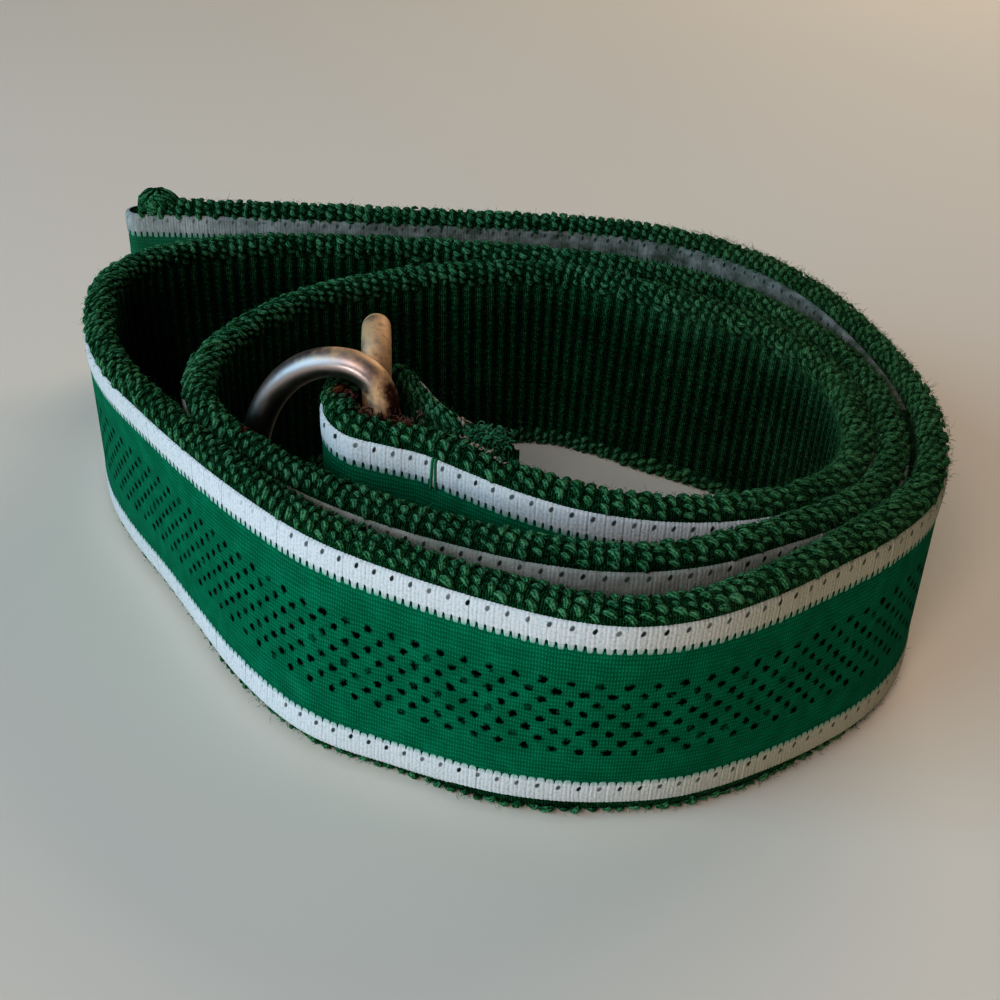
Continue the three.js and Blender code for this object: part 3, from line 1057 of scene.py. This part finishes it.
@dataclass
class Webbing:
    """The strap: a flat woven core with cross ribs, between two rolled edges of plaited loops.

    Sizes are in millimetres. A stretch starts at the first of its four places along the strap, is full
    between the middle two and ends at the last.
    """

    route: StrapRoute
    stains: RustStains = field(default_factory=RustStains)
    rib_step: float = 2.06
    rib_depth: float = 0.4
    stations_per_rib: int = 6
    face_points: int = 7
    face_inset: float = 3.2
    flat_inset: float = 2.5
    edge_points: int = 6
    edge_reach: tuple[float, float] = (-3.7, 3.6)
    under_plait: float = 0.25
    body_filament: float = 0.31
    loop_filaments: float = 3.4
    loop_step: float = 3.3
    lowest_loop: float = -2.75
    loop_row_step: float = 0.65
    loop_rows: int = 11
    loop_half_length: float = 0.84
    loop_half_width: float = 0.47
    loop_rise: float = 0.5
    loop_bend: float = 0.6
    # The mean and the spread of the loops' slant in degrees, and of how deep they sink, as a share of a rise
    loop_slant: tuple[float, float] = (-42.0, 14.0)
    loop_sink: tuple[float, float] = (0.5, 0.14)
    top_fibres: int = 32500
    bottom_fibres: int = 13000
    fibre_reach: tuple[float, float] = (-3.3, 4.4)
    folded_leg_end: float = 24.0
    folded_leg_blend: float = 6.0
    folded_leg_thinning: float = 0.5
    outer_wrap_start: float = 560.0
    outer_wrap_blend: float = 20.0
    tail_start: float = 688.0
    tail_blend: float = 4.0
    tail_swell: float = 0.29
    pressed_stretch: Quadruple = (700, 712, 760, 785)
    pressed: float = 0.45
    grounded_stretch: Quadruple = (630, 645, 675, 695)
    grounded_swell: float = 0.34
    bottom_trim: float = 0.12
    rubbed_from_x: float = 20.0
    rubbed_to_x: float = 50.0
    # Painted light: the inward face is drawn lighter between these heights
    top_light_from: float = 23.0
    top_light_to: float = 29.0
    # The lump at the tail's tip: its centre, measured from the tail's end, its half sizes, the radius at
    # which its loops have their own size, and each ring's number of loops and how many degrees up it is
    tip_centre: Triple = (-3.4, 0.1, 31.0)
    tip_half: Triple = (3.9, 2.2, 2.9)
    tip_radius: float = 2.1
    tip_rings: tuple[tuple[int, int], ...] = ((14, 2), (14, 22), (12, 42), (9, 62), (4, 82))

    def _spread(self, edge: Edge, along: np.ndarray, offset: np.ndarray) -> np.ndarray:
        """Widens the rolled edge on the tail, and where the front of the outer wrap rests on the ground.

        On the tail the ribbon lies on the inward face too, so the edge swells inward, but it is pressed in at
        the right of the coil, where the ribbon's side shows between two wraps. On the leg that is folded back
        the edge is sewn down thin. All are shares of the offset.

        Args:
            edge: which edge of the strap.
            along: distance along the strap.
            offset: distance from the centre line, positive on the outward face.

        Returns:
            The new distance from the centre line.
        """
        folded = smoothstep(self.folded_leg_end, self.folded_leg_end - self.folded_leg_blend, along)
        tail = smoothstep(self.tail_start - self.tail_blend, self.tail_start + self.tail_blend, along)
        tail = self.tail_swell * tail
        tail = tail - self.pressed * plateau(self.pressed_stretch, along)
        squashed = self.grounded_swell * plateau(self.grounded_stretch, along) - self.bottom_trim
        outward = squashed if edge is Edge.BOTTOM else 0.0
        offset = offset * (1 - self.folded_leg_thinning * folded)
        return offset * (1 + np.where(offset > 0, outward, tail))

    def _rubbed(self, along: np.ndarray) -> np.ndarray:
        """How rubbed the yarn is: 0 at the left of the coil, 1 at its right."""
        return smoothstep(self.rubbed_from_x, self.rubbed_to_x, self.route.place(along, 0.0, 0.0)[..., 0])

    def body(self) -> bpy.types.Object:
        """The core and its rolled edges.

        The section is a closed outline: each rolled edge lies just under the plait's, and the two faces
        between them are flat. The inward face carries ribs across the strap, whose height is sin^2 of the
        way along it. Its colour has a painted highlight on the ribs and painted shade between them, and
        painted light makes it lighter towards the top.

        Returns:
            The mesh object.
        """
        rows = int(self.route.length / self.rib_step) * self.stations_per_rib
        along = np.linspace(0, self.route.length, rows)[:, None]
        edge_distance = np.linspace(*self.edge_reach, self.edge_points)
        edge_offset, edge_height = EdgeOutline(Edge.TOP).place(edge_distance, -self.under_plait)
        face_height = np.linspace(self.face_inset, WEBBING_WIDTH - self.face_inset, self.face_points)
        face = np.full(self.face_points, CORE_HALF)
        offset = np.concatenate([face, edge_offset, -face, edge_offset[::-1]])
        low_height = WEBBING_WIDTH - edge_height[::-1]
        height = np.concatenate([face_height, edge_height, face_height[::-1], low_height])
        flat = np.abs(height - WEBBING_WIDTH / 2) < WEBBING_WIDTH / 2 - self.flat_inset
        rib = np.sin(math.pi * along / self.rib_step) ** 2
        relief = np.where(flat & (offset < 0), (rib - 0.75) * self.rib_depth, 0)
        top, bottom = (self._spread(edge, along, offset) for edge in Edge)
        swollen = np.where(height > WEBBING_WIDTH / 2, top, bottom)
        points = self.route.place(along, np.where(flat, offset - relief, swollen), height)
        # Painted highlight on the ribs' crests, painted shade between them and painted light towards the top
        top_light = 0.3 * smoothstep(self.top_light_from, self.top_light_to, height)
        marks = {
            "crown": np.where(flat, 0.36 * rib - 0.01 + top_light, 0.16),
            "rust": self.stains.amount(points),
            "strand": along / self.body_filament,
            "knit": flat,
        }
        return mesh_piece("webbing_body", points, band_faces(rows, height.size), (along, height), marks)

    def _loops(self, edge: Edge, row: int, rng: np.random.Generator) -> tuple[np.ndarray, ...]:
        """One row of the plait's loops along the strap.

        A loop is half an egg, bent a little to one side, and is flatter where the strap is rubbed. Each is
        turned by its slant, laid on the edge's outline and lifted off it.

        Args:
            edge: which edge of the strap.
            row: the row's number, from the outward side.
            rng: the random numbers of the whole plait.

        Returns:
            The points, and at each its place along the strap, its height, its crown and its strand.
        """
        count = int(self.route.length / self.loop_step)
        each = (count, 1, 1)
        a, b, sideways, raised = half_egg((-1, -0.75, -0.28, 0.28, 0.75, 1), 6)
        middle = self.lowest_loop + row * self.loop_row_step + rng.normal(0, 0.08 if row else 0.06, each)
        along = (np.arange(count).reshape(each) + 0.25 + 0.5 * (row % 2)) * self.loop_step
        along = np.clip(along + rng.normal(0, 0.14, each), 1.0, self.route.length - 1.0)
        slant = np.radians(rng.normal(*self.loop_slant, each))
        size = np.clip(rng.normal(1, 0.14, each), 0.7, 1.3)
        rough = 1 + rng.normal(0, 0.1, (count, *raised.shape))
        over = a * self.loop_half_length * size
        side = (sideways + self.loop_bend * (1 - a**2)) * self.loop_half_width * size * rough
        rubbed = self._rubbed(along)
        lift = self.loop_rise * (raised * size * rough - rng.normal(*self.loop_sink, each))
        lift = lift * (1 - 0.25 * rubbed)
        step_round = over * np.cos(slant) - side * np.sin(slant)
        offset, height = EdgeOutline(edge).place(middle + step_round, lift)
        offset = self._spread(edge, along, offset)
        along = along + over * np.sin(slant) + side * np.cos(slant)
        # Painted highlight on each loop's back and painted shade at its foot, varied at random from loop to
        # loop
        tone = np.clip(rng.normal(0.86, 0.13, each), 0.5, 1.15)
        crown = 0.14 + tone * (0.2 + (0.5 - 0.1 * rubbed) * raised)
        strand = self.loop_filaments * b / math.pi + rng.random(each)
        return self.route.place(along, offset, height), along, height, crown, strand

    def plait(self, edge: Edge) -> bpy.types.Object:
        """The loops of yarn that cover one rolled edge.

        They stand in rows round the edge, each row half a step further along than the last.

        Args:
            edge: which edge of the strap.

        Returns:
            The mesh object.
        """
        rng = np.random.default_rng(7 if edge is Edge.TOP else 8)
        rows = [self._loops(edge, row, rng) for row in range(self.loop_rows)]
        points, along, height, crown, strand = (np.concatenate(parts) for parts in zip(*rows))
        count, lengthwise, crosswise = points.shape[:3]
        faces = grid_faces(lengthwise, crosswise)
        faces = many_faces(count, lengthwise * crosswise, faces if edge is Edge.TOP else faces[:, ::-1])
        marks = {"crown": crown, "rust": self.stains.amount(points), "strand": strand}
        return mesh_piece(f"webbing_plait_{edge.value}", points, faces, (along, height), marks)

    def fuzz(self, edge: Edge) -> bpy.types.Object:
        """Loose fibres that stand off one rolled edge.

        There are more where the top is rubbed, and on the outer wrap's lower edge. Each starts just over
        the outline, and its heading is the outline's normal with a random direction added.

        Args:
            edge: which edge of the strap.

        Returns:
            The mesh object.
        """
        top = edge is Edge.TOP
        seed, count = (31, self.top_fibres) if top else (32, self.bottom_fibres)
        rng = np.random.default_rng(seed)
        outline = EdgeOutline(edge)
        along = rng.uniform(0.5, self.route.length - 0.5, 3 * count)
        blend = self.outer_wrap_blend
        outer = smoothstep(self.outer_wrap_start - blend, self.outer_wrap_start + blend, along)
        chance = 0.35 + 0.65 * (self._rubbed(along) if top else outer)
        along = along[rng.random(3 * count) < chance][:count]
        round_edge = rng.uniform(*self.fibre_reach, count)
        low, high = (
            self.route.place(along, self._spread(edge, along, offset), height)
            for offset, height in (outline.place(round_edge, lift) for lift in (0.1, 1.1))
        )
        length = (rng.gamma(2.2, 0.14, count) + 0.3) * (0.8 + 0.2 * self._rubbed(along))
        reach = (0.55 * (high - low) + rng.normal(0, 0.55, (count, 3))) * length[:, None]
        crown = rng.uniform(0.3, 0.85, count)
        marks = {"crown": crown, "rust": self.stains.amount(low), "strand": np.zeros(count)}
        curl = rng.uniform(0.3, 2.6, count)
        thickness = rng.uniform(0.016, 0.032, count)
        return fibre_piece(f"webbing_fuzz_{edge.value}", low, reach, curl, thickness, seed, marks=marks)

    def tip_roll(self) -> bpy.types.Object:
        """The lump of loops where the top edge is turned over at the tail's tip.

        The loops are half eggs, as on the plait, stood all over a dome above the edge. A point of the dome is
        its centre plus (half size + lift) (cos rise cos swing, cos rise sin swing, sin rise).

        Returns:
            The mesh object.
        """
        rng = np.random.default_rng(41)
        loops, degrees = np.array(self.tip_rings).T
        level = np.repeat(np.radians(degrees), loops)[:, None, None]
        around = [np.arange(count) * TAU / count + 0.4 * k for k, count in enumerate(loops)]
        around = np.concatenate(around)[:, None, None]
        a, b, sideways, raised = half_egg((-1, -0.8, -0.4, 0, 0.4, 0.8, 1), 7)
        size = rng.normal(1, 0.2, level.shape)
        slant = rng.normal(0.5, 0.7, level.shape)
        over = 0.85 * size * a
        side = 0.55 * size * sideways
        swing = around + (over * np.sin(slant) + side * np.cos(slant)) / self.tip_radius
        rise = level + (over * np.cos(slant) - side * np.sin(slant)) / self.tip_radius
        lift = 0.5 * raised * size - 0.25
        half_length, half_thickness, half_height = (half + lift for half in self.tip_half)
        along = self.route.length + self.tip_centre[0] + half_length * np.cos(rise) * np.cos(swing)
        offset = self.tip_centre[1] + half_thickness * np.cos(rise) * np.sin(swing)
        height = self.tip_centre[2] + half_height * np.sin(rise)
        # Painted highlight on each loop's back and painted shade at its foot, varied at random from loop to
        # loop
        tone = rng.uniform(0.3, 0.9, level.shape)
        marks = {
            "crown": 0.05 + tone * raised**2.4,
            "strand": self.loop_filaments * b / math.pi,
            "rust": np.zeros(1),
        }
        faces = many_faces(level.size, raised.size, grid_faces(*raised.shape))
        points = self.route.place(along, offset, height)
        return mesh_piece("webbing_tip_roll", points, faces, (along, height), marks)


@dataclass(frozen=True)
class Tuft:
    """A bunch of loose yarn, in millimetres.

    Its roots lie along the line from start to end, and stray from it by spread. Curl is the angle that a
    fibre turns by, in radians.
    """

    name: str
    yarn: str
    start: Triple
    end: Triple
    spread: float
    heading: Triple
    count: int
    length: float
    thickness: float
    curl: float
    seed: int

    def build(self) -> bpy.types.Object:
        """Stands the curled fibres at random along the line from start to end, each near the heading.

        Returns:
            The mesh object.
        """
        rng = np.random.default_rng(self.seed)
        share = rng.random(self.count)[:, None]
        root = np.array(self.start) * (1 - share) + np.array(self.end) * share
        root = root + rng.normal(0, self.spread, (self.count, 3))
        size = self.length * rng.uniform(0.5, 1.3, self.count)[:, None]
        reach = size * (np.array(self.heading) + rng.normal(0, 0.6, (self.count, 3)))
        curl = self.curl * rng.uniform(0.4, 1.3, self.count)
        thickness = self.thickness * rng.uniform(0.6, 1.3, self.count)
        return fibre_piece(self.name, root, reach, curl, thickness, self.seed, rings=4)


@dataclass(frozen=True)
class BorderShape:
    """One white border's heights over the strap's lower edge and its teeth, in millimetres."""

    teeth_end: float
    side: float
    dots: float
    notch: float
    # How much of its step a tooth fills at the four places that lead from its end to the notch
    tapering: Quadruple
    seed: int


@dataclass
class Ribbon:
    """The knitted tape, with a raised border of white ribs along each side. Sizes are in millimetres."""

    route: RibbonRoute
    station_step: float = 0.6
    tape_points: int = 6
    tape_rounding: tuple[float, float] = (0.25, 0.3)
    tooth_step: float = 2.3 * 3 / 7
    rib_rise: float = 0.17
    turn_radius: float = 0.45
    upper: BorderShape = BorderShape(26.05, 29.95, 29.25, 0.95, (0.34, 0.55, 0.66, 0.74), 21)
    lower: BorderShape = BorderShape(5.7, 1.8, 4.5, 0.6, (0.4, 0.72, 0.85, 0.9), 22)
    thread_places: tuple[float, float] = (52.5, 53.1)
    thread_slants: tuple[float, float] = (0.05, -0.025)
    thread_half_width: float = 0.2
    thread_rise: float = 0.16

    # The white yarn along the ribbon: where, how grey, how cream, how open its row of holes
    wear_rows: tuple[Quadruple, ...] = (
        (0, 0.3, 0.0, 1.0),
        (60, 0.05, 0.0, 1.0),
        (130, 0.1, 0.0, 1.0),
        (160, 0.4, 0.3, 1.0),
        (300, 0.55, 0.3, 1.0),
        (360, 0.5, 0.2, 1.0),
        (470, 0.5, 0.1, 0.6),
        (540, 0.2, 0.1, 0.2),
        (600, 0.0, 0.0, 0.15),
        (616, 0.0, 0.0, 0.25),
        (618, 0.0, 0.0, 1.0),
        (655, 0.0, 0.05, 1.0),
        (665, 0.03, 0.35, 1.0),
        (678, 0.06, 0.8, 0.9),
        (720, 0.1, 0.9, 0.8),
        (800, 0.3, 0.4, 0.6),
        (890, 0.6, 0.0, 0.3),
        (910, 0.6, 0.0, 0.5),
        (930, 0.75, 0.0, 0.7),
        (950, 0.9, 0.0, 0.8),
        (1040, 0.85, 0.1, 0.8),
        (1100, 0.95, 0.4, 0.8),
    )

    def _wear(self, along: np.ndarray) -> dict[str, np.ndarray]:
        """How grey, cream and open the white yarn is, read between the rows above.

        Args:
            along: places along the ribbon.

        Returns:
            Its soil, cream and open holes at each place.
        """
        place, *columns = np.array(self.wear_rows).T
        named = zip(("soil", "cream", "open"), columns)
        return {name: np.interp(along, place, column) for name, column in named}

    def tape(self) -> bpy.types.Object:
        """The green tape: a closed band with slightly rounded sides.

        Returns:
            The mesh object.
        """
        rows = int(self.route.length / self.station_step)
        along = np.linspace(0, self.route.length, rows)[:, None]
        inset, drop = self.tape_rounding
        face_height = np.linspace(RIBBON_LOW + inset, RIBBON_HIGH - inset, self.tape_points)
        height = np.array([RIBBON_LOW, *face_height, RIBBON_HIGH, RIBBON_HIGH, RIBBON_LOW])
        face = np.full(self.tape_points, RIBBON_FACE)
        offset = np.array([RIBBON_FACE - drop, *face, RIBBON_FACE - drop, RIBBON_INNER, RIBBON_INNER])
        points = self.route.place(along, offset, height)
        faces = band_faces(rows, height.size)
        return mesh_piece("ribbon_tape", points, faces, (along, height), self._wear(along))

    def border(self, edge: Edge) -> bpy.types.Object:
        """One white border: pairs of knitted ribs side by side, whose inner ends make the teeth.

        Seven teeth fill three steps of the holes. Across, a tooth has two humps. Along its length it starts
        with a rounded end, is narrow up to the notch's depth, fills its whole step over the tape's face and
        turns round the tape's side.

        Args:
            edge: which side of the tape.

        Returns:
            The mesh object.
        """
        top = edge is Edge.TOP
        shape = self.upper if top else self.lower
        rng = np.random.default_rng(shape.seed)
        step = self.tooth_step
        count = int(self.route.length / step)
        each = (count, 1, 1)
        reach = abs(shape.side - shape.teeth_end) - self.turn_radius
        run = (0, 0.1, 0.4 * shape.notch, shape.notch - 0.1, shape.notch + 0.1, reach, reach, reach)
        turn = np.radians((0, 0, 0, 0, 0, 0, 52, 105))
        narrow = (*shape.tapering, 1.03, 1.03, 1.03, 1.03)
        full = (0.12, 0.4, 0.62, 0.8, 1, 1, 1, 1)
        run, turn, narrow, full = (np.array(part)[:, None] for part in (run, turn, narrow, full))
        across = np.linspace(-1, 1, 7)
        hump = 0.8 - 0.2 * np.cos(TAU * across)
        start = rng.normal(0, 0.05, each) * (1 - run / reach)
        along = (np.arange(count).reshape(each) + 0.5) * step + across * 0.5 * step * narrow
        along = along + rng.normal(0, 0.02, each)
        rise = 0.02 + self.rib_rise * full * hump * (1 + rng.normal(0, 0.1, (count, 1, across.size)))
        offset = RIBBON_FACE - self.turn_radius + (self.turn_radius + rise) * np.cos(turn)
        height = run + start + (self.turn_radius + rise) * np.sin(turn)
        height = shape.teeth_end + (height if top else -height)
        points = self.route.place(along, offset, height)
        faces = grid_faces(full.size, across.size)
        faces = many_faces(count, full.size * across.size, faces[:, ::-1] if top else faces)
        marks = {**self._wear(along), "dot": height - shape.dots, "tooth": full * (0.5 + 0.5 * hump)}
        return mesh_piece(f"ribbon_border_{edge.value}", points, faces, (along, height), marks)

    def stitches(self) -> bpy.types.Object:
        """Two sewn threads that cross the upper border, where the folded end is sewn down.

        Each is half a tube: its radius is full along the face and round the tape's side, and tapers at both
        ends. It leans along the strap by its slant.

        Returns:
            The mesh object.
        """
        middle, slant = (np.array(part)[:, None, None] for part in (self.thread_places, self.thread_slants))
        run = np.array([25.7, 25.9, 26.4, 27.4, 28.6, 29.5, 29.5, 29.5, 29.5])[:, None]
        turn = np.radians([0, 0, 0, 0, 0, 0, 35, 70, 100])[:, None]
        full = np.array([0.1, 0.8, 1, 1, 1, 1, 1, 0.9, 0.1])[:, None]
        b = np.linspace(-0.3, math.pi + 0.3, 8)
        along = middle - self.thread_half_width * full * np.cos(b) + (run - run[3]) * slant
        rise = self.thread_rise * (1 + full * np.sin(b))
        offset = RIBBON_FACE - self.turn_radius + (self.turn_radius + rise) * np.cos(turn)
        height = run + (self.turn_radius + rise) * np.sin(turn)
        faces = many_faces(middle.size, full.size * b.size, grid_faces(full.size, b.size))
        return mesh_piece("sewing_thread", self.route.place(along, offset, height), faces)


@dataclass(frozen=True)
class DRing:
    """A D-ring bent from round wire: a straight bar, two rounded corners and a half ellipse.

    Sizes are in millimetres and the heading is in degrees. Tarnish is how tan the wire's outer side is
    near the bar: a painted warm reflection on a bright ring, and real tarnish on one that is dulled all over.
    Rust is how rusty the bar is, and dulled is 1 for a ring that is as dull all over.
    """

    name: str
    bar: tuple[float, float]
    heading: float
    tarnish_and_reflection: float = 0.26
    rust: float = 0.3
    dulled: float = 0.0
    wire_radius: float = 1.95
    half_height: float = 19.5
    depth: float = 19.0
    corner_radius: float = 5.0

    def _path(self) -> np.ndarray:
        """The wire's centre line as reach from the bar and height, evenly sampled in its own angle.

        The corner is a quarter circle, then the arc is the half ellipse reach = r + (d - r) cos t,
        height = h sin t, and the second corner closes on the straight bar.

        Returns:
            The points, one row each.
        """
        quarter = np.linspace(0, math.pi / 2, 10, endpoint=False)
        arc = np.linspace(math.pi / 2, -math.pi / 2, 61)
        straight = self.half_height - self.corner_radius
        corner = (self.corner_radius * (1 - np.cos(quarter)), straight + self.corner_radius * np.sin(quarter))
        corner = np.stack(corner, axis=1)
        bow = self.corner_radius + (self.depth - self.corner_radius) * np.cos(arc)
        bow = np.stack([bow, self.half_height * np.sin(arc)], axis=1)
        bar = np.stack([np.zeros(10), np.linspace(-straight, straight, 12)[1:-1]], axis=1)
        return np.vstack([corner, bow, corner[::-1] * np.array([1, -1]), bar])

    def build(self) -> bpy.types.Object:
        """Sweeps a circle along the wire's centre line.

        Returns:
            The mesh object.
        """
        path = self._path()
        angle = math.radians(self.heading)
        away = np.array([math.cos(angle), math.sin(angle), 0.0])
        up = np.array([0.0, 0.0, 1.0])
        flat = np.cross(up, away)
        origin = np.array([*(np.array(self.bar) + ROUTE_ORIGIN), self.half_height + self.wire_radius])
        centre = origin + path[:, :1] * away + path[:, 1:] * up
        tangent = np.roll(centre, -1, axis=0) - np.roll(centre, 1, axis=0)
        tangent /= np.linalg.norm(tangent, axis=1)[:, None]
        out = np.cross(tangent, flat)
        turn = np.linspace(0, TAU, 32, endpoint=False)
        ring = np.cos(turn)[None, :, None] * out[:, None] + np.sin(turn)[None, :, None] * flat
        points = centre[:, None] + self.wire_radius * ring
        reach = path[:, :1]
        # Painted warm reflection on the wire's outer side near the bar; on a ring that is dulled all over it
        # is real tarnish
        warm_reflection = smoothstep(0.1, 0.9, np.cos(turn)) * smoothstep(17, 6, reach)
        warm_reflection = np.maximum(warm_reflection, self.dulled)
        tarnish_and_reflection = smoothstep(2.4, 0.2, reach) * self.rust + warm_reflection * self.tarnish_and_reflection
        faces = grid_faces(len(path), turn.size, wrap_rows=True, wrap_columns=True)
        return mesh_piece(self.name, points, faces, marks={"tarnish_and_reflection": tarnish_and_reflection})


@dataclass(frozen=True)
class Lamp:
    """A square soft light: its place, side and aim in metres, its power in watts and its sRGB colour."""

    name: str
    place: Triple
    size: float
    power: float
    colour: str
    aim: Triple = (0.0, 0.0, 0.02)

    def build(self) -> bpy.types.Object:
        """Adds the light, turned to the point that it aims at.

        Returns:
            The light's object.
        """
        data = bpy.data.lights.new(self.name, "AREA")
        data.size = self.size
        data.energy = self.power
        data.color = linear_colour(self.colour)[:3]
        light = bpy.data.objects.new(self.name, data)
        bpy.context.scene.collection.objects.link(light)
        light.location = self.place
        way = Vector(self.aim) - Vector(self.place)
        light.rotation_euler = way.to_track_quat("-Z", "Y").to_euler()
        return light


@dataclass(frozen=True)
class Studio:
    """A pale card ground, the light and the camera, with sizes in millimetres and angles in degrees."""

    camera_place: Triple = (4.3202, -165.4972, 117.4)
    pitch: float = 33.6
    roll: float = 2.9
    focal_pixels: float = 1300.0
    ground_half: float = 3000.0
    surround: str = "#e6dfe6"
    surround_strength: float = 0.03
    # Two windows, a small low lamp for the ring's glint, the ceiling and a warm room behind
    lamps: tuple[Lamp, ...] = (
        Lamp("window", (-0.95, -0.4, 0.46), 0.8, 7.0, "#aedeff"),
        Lamp("high_window", (-0.3, -0.8, 0.8), 0.5, 3.6, "#ffeeea"),
        Lamp("glint", (-0.5, -0.96, 0.08), 0.16, 1.1, "#ffffff"),
        Lamp("ceiling", (0.0, 0.1, 1.1), 1.2, 0.8, "#bfdcff"),
        Lamp("room", (0.45, 0.78, 0.5), 0.7, 2.9, "#ffeed6"),
    )

    def camera(self) -> bpy.types.Object:
        """Places the camera: it looks along +Y, tipped down by the pitch and rolled about its own axis.

        Returns:
            The camera's object.
        """
        data = bpy.data.cameras.new("camera")
        data.sensor_width = 36.0
        data.lens = self.focal_pixels / 1000 * data.sensor_width
        data.clip_start = 0.01
        seen = bpy.data.objects.new("camera", data)
        bpy.context.scene.collection.objects.link(seen)
        tip, roll = math.radians(self.pitch), math.radians(self.roll)
        right = Vector((math.cos(roll), math.sin(roll) * math.sin(tip), math.sin(roll) * math.cos(tip)))
        forward = Vector((0, math.cos(tip), -math.sin(tip)))
        turned = Matrix((right, right.cross(forward), -forward)).transposed().to_4x4()
        seen.matrix_world = Matrix.Translation(Vector(self.camera_place) * MM) @ turned
        bpy.context.scene.camera = seen
        return seen

    def floor(self) -> bpy.types.Object:
        """Makes the ground.

        Returns:
            The mesh object.
        """
        corners = np.array([[-1, -1, 0], [1, -1, 0], [1, 1, 0], [-1, 1, 0]]) * self.ground_half
        piece = mesh_piece("ground", corners, np.array([[0, 1, 2, 3]]))
        piece.data.materials.append(PaleCard().material())
        return piece

    def light(self) -> None:
        """Sets the lamps, a faint surround and how the picture is developed."""
        for lamp in self.lamps:
            lamp.build()
        world = bpy.data.worlds.new("surround")
        world.use_nodes = True
        background = world.node_tree.nodes["Background"]
        background.inputs["Color"].default_value = linear_colour(self.surround)
        background.inputs["Strength"].default_value = self.surround_strength
        scene = bpy.context.scene
        scene.world = world
        scene.view_settings.view_transform = "Standard"
        scene.view_settings.look = "High Contrast"


# The frayed yarn round the left ring's wire, on the cut end and along the seam, in the part's frame
TUFTS = (
    Tuft(
        "tuft_rusty", "rusty", start=(-13.5, -23.2, 34.6), end=(-6.5, -26.2, 35.0), spread=0.6,
        heading=(0.5, -0.2, 0.1), count=170, length=1.3, thickness=0.15, curl=2.6, seed=51,
    ),
    Tuft(
        "tuft_red", "red", start=(-17.6, -20.2, 35.6), end=(-15.4, -21.2, 35.6), spread=0.5,
        heading=(0.3, 0.0, 0.2), count=50, length=1.0, thickness=0.15, curl=2.6, seed=52,
    ),
    Tuft(
        "tuft_green_end", "green", start=(1.2, -27.3, 35.0), end=(4.2, -28.9, 34.9), spread=0.7,
        heading=(0.1, -0.1, 0.3), count=420, length=1.2, thickness=0.14, curl=4.5, seed=53,
    ),
    Tuft(
        "tuft_pale", "pale", start=(-1.3, -26.0, 36.7), end=(-0.9, -26.3, 36.6), spread=0.12,
        heading=(0.9, -0.6, -0.3), count=7, length=1.1, thickness=0.2, curl=0.6, seed=54,
    ),
    Tuft(
        "tuft_seam", "pale", start=(-0.9, -29.8, 36.0), end=(4.8, -34.0, 35.2), spread=0.2,
        heading=(0.4, -0.4, 0.0), count=44, length=0.7, thickness=0.16, curl=3.0, seed=55,
    ),
)


def dress(
    piece: bpy.types.Object, material: bpy.types.Material, body: str
) -> bpy.types.Object:
    """Gives a piece its material and its body, and reports it.

    Args:
        piece: the finished piece.
        material: its material.
        body: the CAD body that it moves with.

    Returns:
        The piece.
    """
    piece.data.materials.append(material)
    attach(piece, body)
    LOG.info("%s: %d faces", piece.name, len(piece.data.polygons))
    return piece


def main() -> None:
    """Builds the belt over its CAD frame, in order, and sets the studio."""
    logging.basicConfig(level=logging.INFO, format="%(message)s")
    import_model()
    studio = Studio()
    studio.camera()
    studio.floor()
    studio.light()

    strap = StrapRoute()
    LOG.info("strap length %.1f mm", strap.length)
    webbing = Webbing(strap)
    cotton = CottonYarn().material()
    body = dress(webbing.body(), cotton, "belt")
    for edge in Edge:
        dress(webbing.plait(edge), cotton, "belt")
        dress(webbing.fuzz(edge), cotton, "belt")
    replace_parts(body, "webbing")

    yarns = {
        "rusty": FrayedYarn("rusty_cotton_yarn", "#2c0b08", "#8a5a44").material(),
        "green": FrayedYarn("frayed_green_yarn", "#06492b", "#2f9866").material(),
        "pale": FrayedYarn("frayed_pale_yarn", "#5d4238", "#c5b6a2").material(),
        "red": FrayedYarn("stained_red_yarn", "#3a0a10", "#8a3a3c").material(),
    }
    for tuft in TUFTS:
        dress(tuft.build(), yarns[tuft.yarn], "belt")
    dress(webbing.tip_roll(), cotton, "belt")

    ribbon = Ribbon(RibbonRoute(strap))
    dress(ribbon.stitches(), yarns["green"], "belt")
    tape = dress(ribbon.tape(), OpenworkKnit().material(), "belt")
    white = WhiteYarn().material()
    for edge in Edge:
        dress(ribbon.border(edge), white, "belt")
    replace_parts(tape, "ribbon")

    steel = TarnishedSteel().material()
    left = DRing("ring_left", (-11.2, -22.3), 164.0)
    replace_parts(dress(left.build(), steel, "left_ring"), "d_ring_left")
    rear = DRing("ring_rear", (-12.6, -17.9), 96.0, tarnish_and_reflection=0.34, rust=0.0, dulled=1.0)
    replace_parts(dress(rear.build(), steel, "rear_ring"), "d_ring_rear")


if __name__ == "__main__":
    main()
